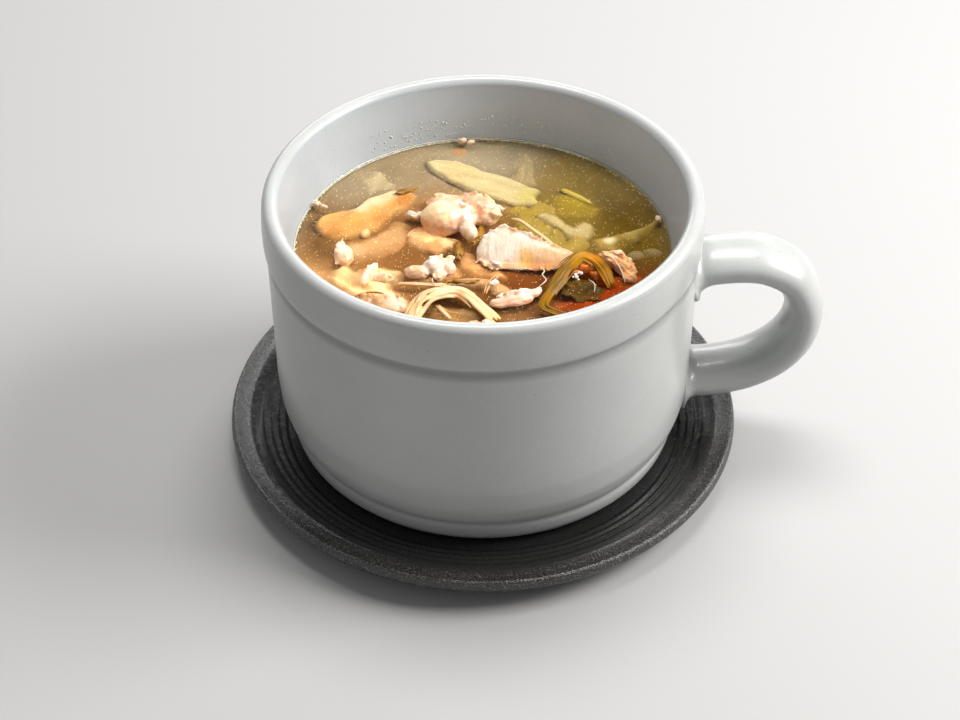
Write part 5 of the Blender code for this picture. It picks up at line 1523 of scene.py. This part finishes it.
def scattered(base, tree, values):
    obj = bpy.data.objects.new("scatterWork", base)
    scene.collection.objects.link(obj)
    modifier = obj.modifiers.new("Scatter", "NODES")
    modifier.node_group = tree
    for item in tree.interface.items_tree:
        if item.in_out == "INPUT" and item.name in values:
            modifier[item.identifier] = values[item.name]
    bpy.context.view_layer.update()
    graph = bpy.context.evaluated_depsgraph_get()
    made = bpy.data.meshes.new_from_object(obj.evaluated_get(graph))
    obj.modifiers.clear()
    bpy.data.objects.remove(obj, do_unlink=True)
    return made


def ringPatch(inner, outer, start, end, lift, steps=80, rise=0.0):
    # part of a ring round the mug's axis, angles in degrees from the handle, climbing by rise outwards
    shape = bmesh.new()
    rows = []
    for radius in (inner, outer):
        rows.append([shape.verts.new(inBowl(
            radius * math.cos(math.radians(start + (end - start) * i / steps)),
            radius * math.sin(math.radians(start + (end - start) * i / steps)),
            lift + (rise if radius == outer else 0))) for i in range(steps + 1)])
    for i in range(steps):
        shape.faces.new((rows[0][i], rows[1][i], rows[1][i + 1], rows[0][i + 1]))
    return meshOf(shape, "patch")


def dropMaterial(name, color, roughness, glass):
    material, tree, shader = newMaterial(
        name, Roughness=roughness, Transmission_Weight=glass, IOR=1.4, Specular_IOR_Level=0.6)
    where = addNode(tree, "ShaderNodeTexCoord")
    vary = addNode(tree, "ShaderNodeTexNoise", {"Vector": where.outputs["Object"], "Scale": 300.0})
    level = addNode(tree, "ShaderNodeMapRange",
                    {"Value": vary.outputs["Fac"], "To Min": 0.85, "To Max": 1.15})
    shaded = addNode(tree, "ShaderNodeHueSaturation", {"Color": (*color, 1), "Value": level.outputs[0]})
    tree.links.new(shaded.outputs["Color"], shader.inputs["Base Color"])
    return material


# a painted highlight: a thin pale tube where the soup climbs the far wall, standing for light caught on the
# meniscus
paintedMeniscusGlint = {
    "from": 48, "to": 212, "points": 240, "inset": 0.12, "lift": 0.5, "radius": 0.17, "ends": 30,
    "tint": (226, 222, 206),
}
lineShape = bmesh.new()
linePath, lineReach = [], []
for i, angle in enumerate(np.radians(np.linspace(paintedMeniscusGlint["from"], paintedMeniscusGlint["to"], paintedMeniscusGlint["points"]))):
    away = bowlRadius - paintedMeniscusGlint["inset"]
    linePath.append(inBowl(away * math.cos(angle), away * math.sin(angle), paintedMeniscusGlint["lift"]))
    thinning = min(i / paintedMeniscusGlint["ends"], (paintedMeniscusGlint["points"] - 1 - i) / paintedMeniscusGlint["ends"], 1)
    uneven = 0.75 + 0.5 * noise.noise(Vector((i / 5, 2, 0)))
    lineReach.append(paintedMeniscusGlint["radius"] * mm * thinning * uneven + 1e-5)
sweep(lineShape, linePath, lineReach, sides=8)
lineMesh = outward(meshOf(lineShape, "line"))
paintPiece(lineMesh, paintedMeniscusGlint["tint"], level=0.8)
addPiece("paintedMeniscusGlint", lineMesh, foodMaterial("paintedMeniscusGlint", contrast=0.2, reach=4.0, wet=0.6))

dropTree = scatterTree()
paleSpeck = dropMaterial("paleSpeck", tone(255, 240, 200), 0.3, 0.0)
fatDrop = dropMaterial("fatDrop", tone(214, 190, 110), 0.1, 0.3)
# the stem bubbles are painted near white and opaque: a painted highlight for the glints on them
paintedGlintDrop = dropMaterial("paintedGlintDrop", tone(250, 246, 236), 0.05, 0.0)
wallBead = dropMaterial("wallBead", tone(196, 194, 184), 0.08, 0.0)
# each as name, the patch that it is strewn on, material and the tree's inputs, in metres
scatters = [
    ("fineSpecks", ringPatch(0.4, bowlRadius - 0.8, 0, 360, -0.1), paleSpeck,
     {"Density": 3.0e5, "Least Size": 0.00006, "Most Size": 0.00013, "Spread Down": 0.0006, "Seed": 4}),
    ("edgeFroth", ringPatch(bowlRadius - 1.5, bowlRadius - 0.3, 22, 96, 0.2), fatDrop,
     {"Density": 1.1e6, "Least Size": 0.00012, "Most Size": 0.00038, "Spread Down": 0.0, "Flatness": 0.7,
      "Seed": 9}),
    # painted highlight: near-white specks packed along the far edge into a bright line, for light on the
    # meniscus
    ("paintedEdgeGlints", ringPatch(bowlRadius - 0.9, bowlRadius - 0.3, 96, 205, 0.35), paleSpeck,
     {"Density": 1.4e6, "Least Size": 0.0001, "Most Size": 0.00026, "Spread Down": 0.0, "Flatness": 0.7,
      "Seed": 13}),
    ("wallBeads", ringPatch(bowlRadius + 0.3, bowlRadius + 1.25, 44, 128, 1.8, 80, 6.0), wallBead,
     {"Density": 3.0e5, "Least Size": 0.0001, "Most Size": 0.00032, "Spread Down": 0.0, "Seed": 21}),
    ("stemBubbles", ringPatch(28.6, 32.2, 325.5, 335, 2.2, 12), paintedGlintDrop,
     {"Density": 9.0e5, "Least Size": 0.0002, "Most Size": 0.0006, "Spread Down": 0.0012, "Seed": 3}),
]
for name, base, material, values in scatters:
    values = {"Flatness": 1.0, "Rings": 1 if name == "fineSpecks" else 2, "Material": material, **values}
    addPiece(name, scattered(base, dropTree, values), material)
print("specks and drops made")


# Floor, lights and camera

floor = {"halfSize": 3.0, "color": (0.4, 0.398, 0.394), "roughness": 0.7}


def makeFloor():
    shape = bmesh.new()
    bmesh.ops.create_grid(shape, x_segments=1, y_segments=1, size=floor["halfSize"])
    mesh = meshOf(shape, "floor")
    material, _, _ = newMaterial("paleFloor", Base_Color=(*floor["color"], 1), Roughness=floor["roughness"])
    mesh.materials.append(material)
    obj = bpy.data.objects.new("floor", mesh)
    scene.collection.objects.link(obj)


def areaLamp(name, azimuth, elevation, distance, size, watts, color):
    # azimuth in degrees from the viewer's side towards the handle
    turn, rise = math.radians(azimuth), math.radians(elevation)
    aim = Vector((setting["axisX"], 0, 0.05))
    away = Vector((math.sin(turn) * math.cos(rise), -math.cos(turn) * math.cos(rise), math.sin(rise)))
    lamp = bpy.data.lights.new(name, "AREA")
    lamp.shape = "RECTANGLE"
    lamp.size, lamp.size_y = size
    lamp.energy = watts
    lamp.color = color
    obj = bpy.data.objects.new(name, lamp)
    obj.location = aim + away * distance
    obj.rotation_euler = away.to_track_quat("Z", "Y").to_euler()
    scene.collection.objects.link(obj)


lights = {
    "keyLamp": {"azimuth": 94, "elevation": 37, "distance": 0.9, "size": (0.45, 0.45), "watts": 12.6,
                "color": (1, 0.985, 0.965)},
    "overheadLamp": {"azimuth": 176, "elevation": 72, "distance": 1.0, "size": (0.6, 0.3), "watts": 8.2,
                     "color": (1, 0.99, 0.98)},
    "rearLamp": {"azimuth": 178, "elevation": 18, "distance": 1.2, "size": (1.0, 0.24), "watts": 5.0,
                 "color": (1, 1, 1)},
}
# the studio is brighter on the viewer's left than behind the mug
studio = {"dark": 0.08, "bright": 0.46, "towards": (-0.6, -0.8, 0.0), "color": (0.985, 0.985, 1.0)}


def makeStudio():
    world = bpy.data.worlds.new("studio")
    world.use_nodes = True
    tree = world.node_tree
    where = addNode(tree, "ShaderNodeTexCoord")
    facing = addNode(tree, "ShaderNodeVectorMath", {0: where.outputs["Object"], 1: studio["towards"]},
                     operation="DOT_PRODUCT")
    level = addNode(tree, "ShaderNodeMapRange", {
        "Value": facing.outputs["Value"], "From Min": -1.0, "From Max": 1.0,
        "To Min": studio["dark"], "To Max": studio["bright"]})
    sky = tree.nodes["Background"]
    sky.inputs["Color"].default_value = (*studio["color"], 1)
    tree.links.new(level.outputs[0], sky.inputs["Strength"])
    return world


makeFloor()
for name, values in lights.items():
    areaLamp(name, **values)
scene.world = makeStudio()
scene.view_settings.view_transform = "Standard"

cameraSettings = {"lens": 67.5, "down": 40.6, "distance": 0.5442, "lookAt": (-0.01233, 0, 0.0260)}
down = math.radians(cameraSettings["down"])
lookFrom = Vector((0, -math.cos(down), math.sin(down)))
camera = bpy.data.objects.new("camera", bpy.data.cameras.new("camera"))
camera.data.lens = cameraSettings["lens"]
camera.data.sensor_width = 36
camera.location = Vector(cameraSettings["lookAt"]) + lookFrom * cameraSettings["distance"]
camera.rotation_euler = (math.pi / 2 - down, 0, 0)
scene.collection.objects.link(camera)
scene.camera = camera
print("stage made")

for obj in scene.objects:
    if obj.type == "MESH" and not obj.get("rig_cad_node"):
        obj.data.calc_loop_triangles()
        print(obj.name, len(obj.data.loop_triangles), "triangles")
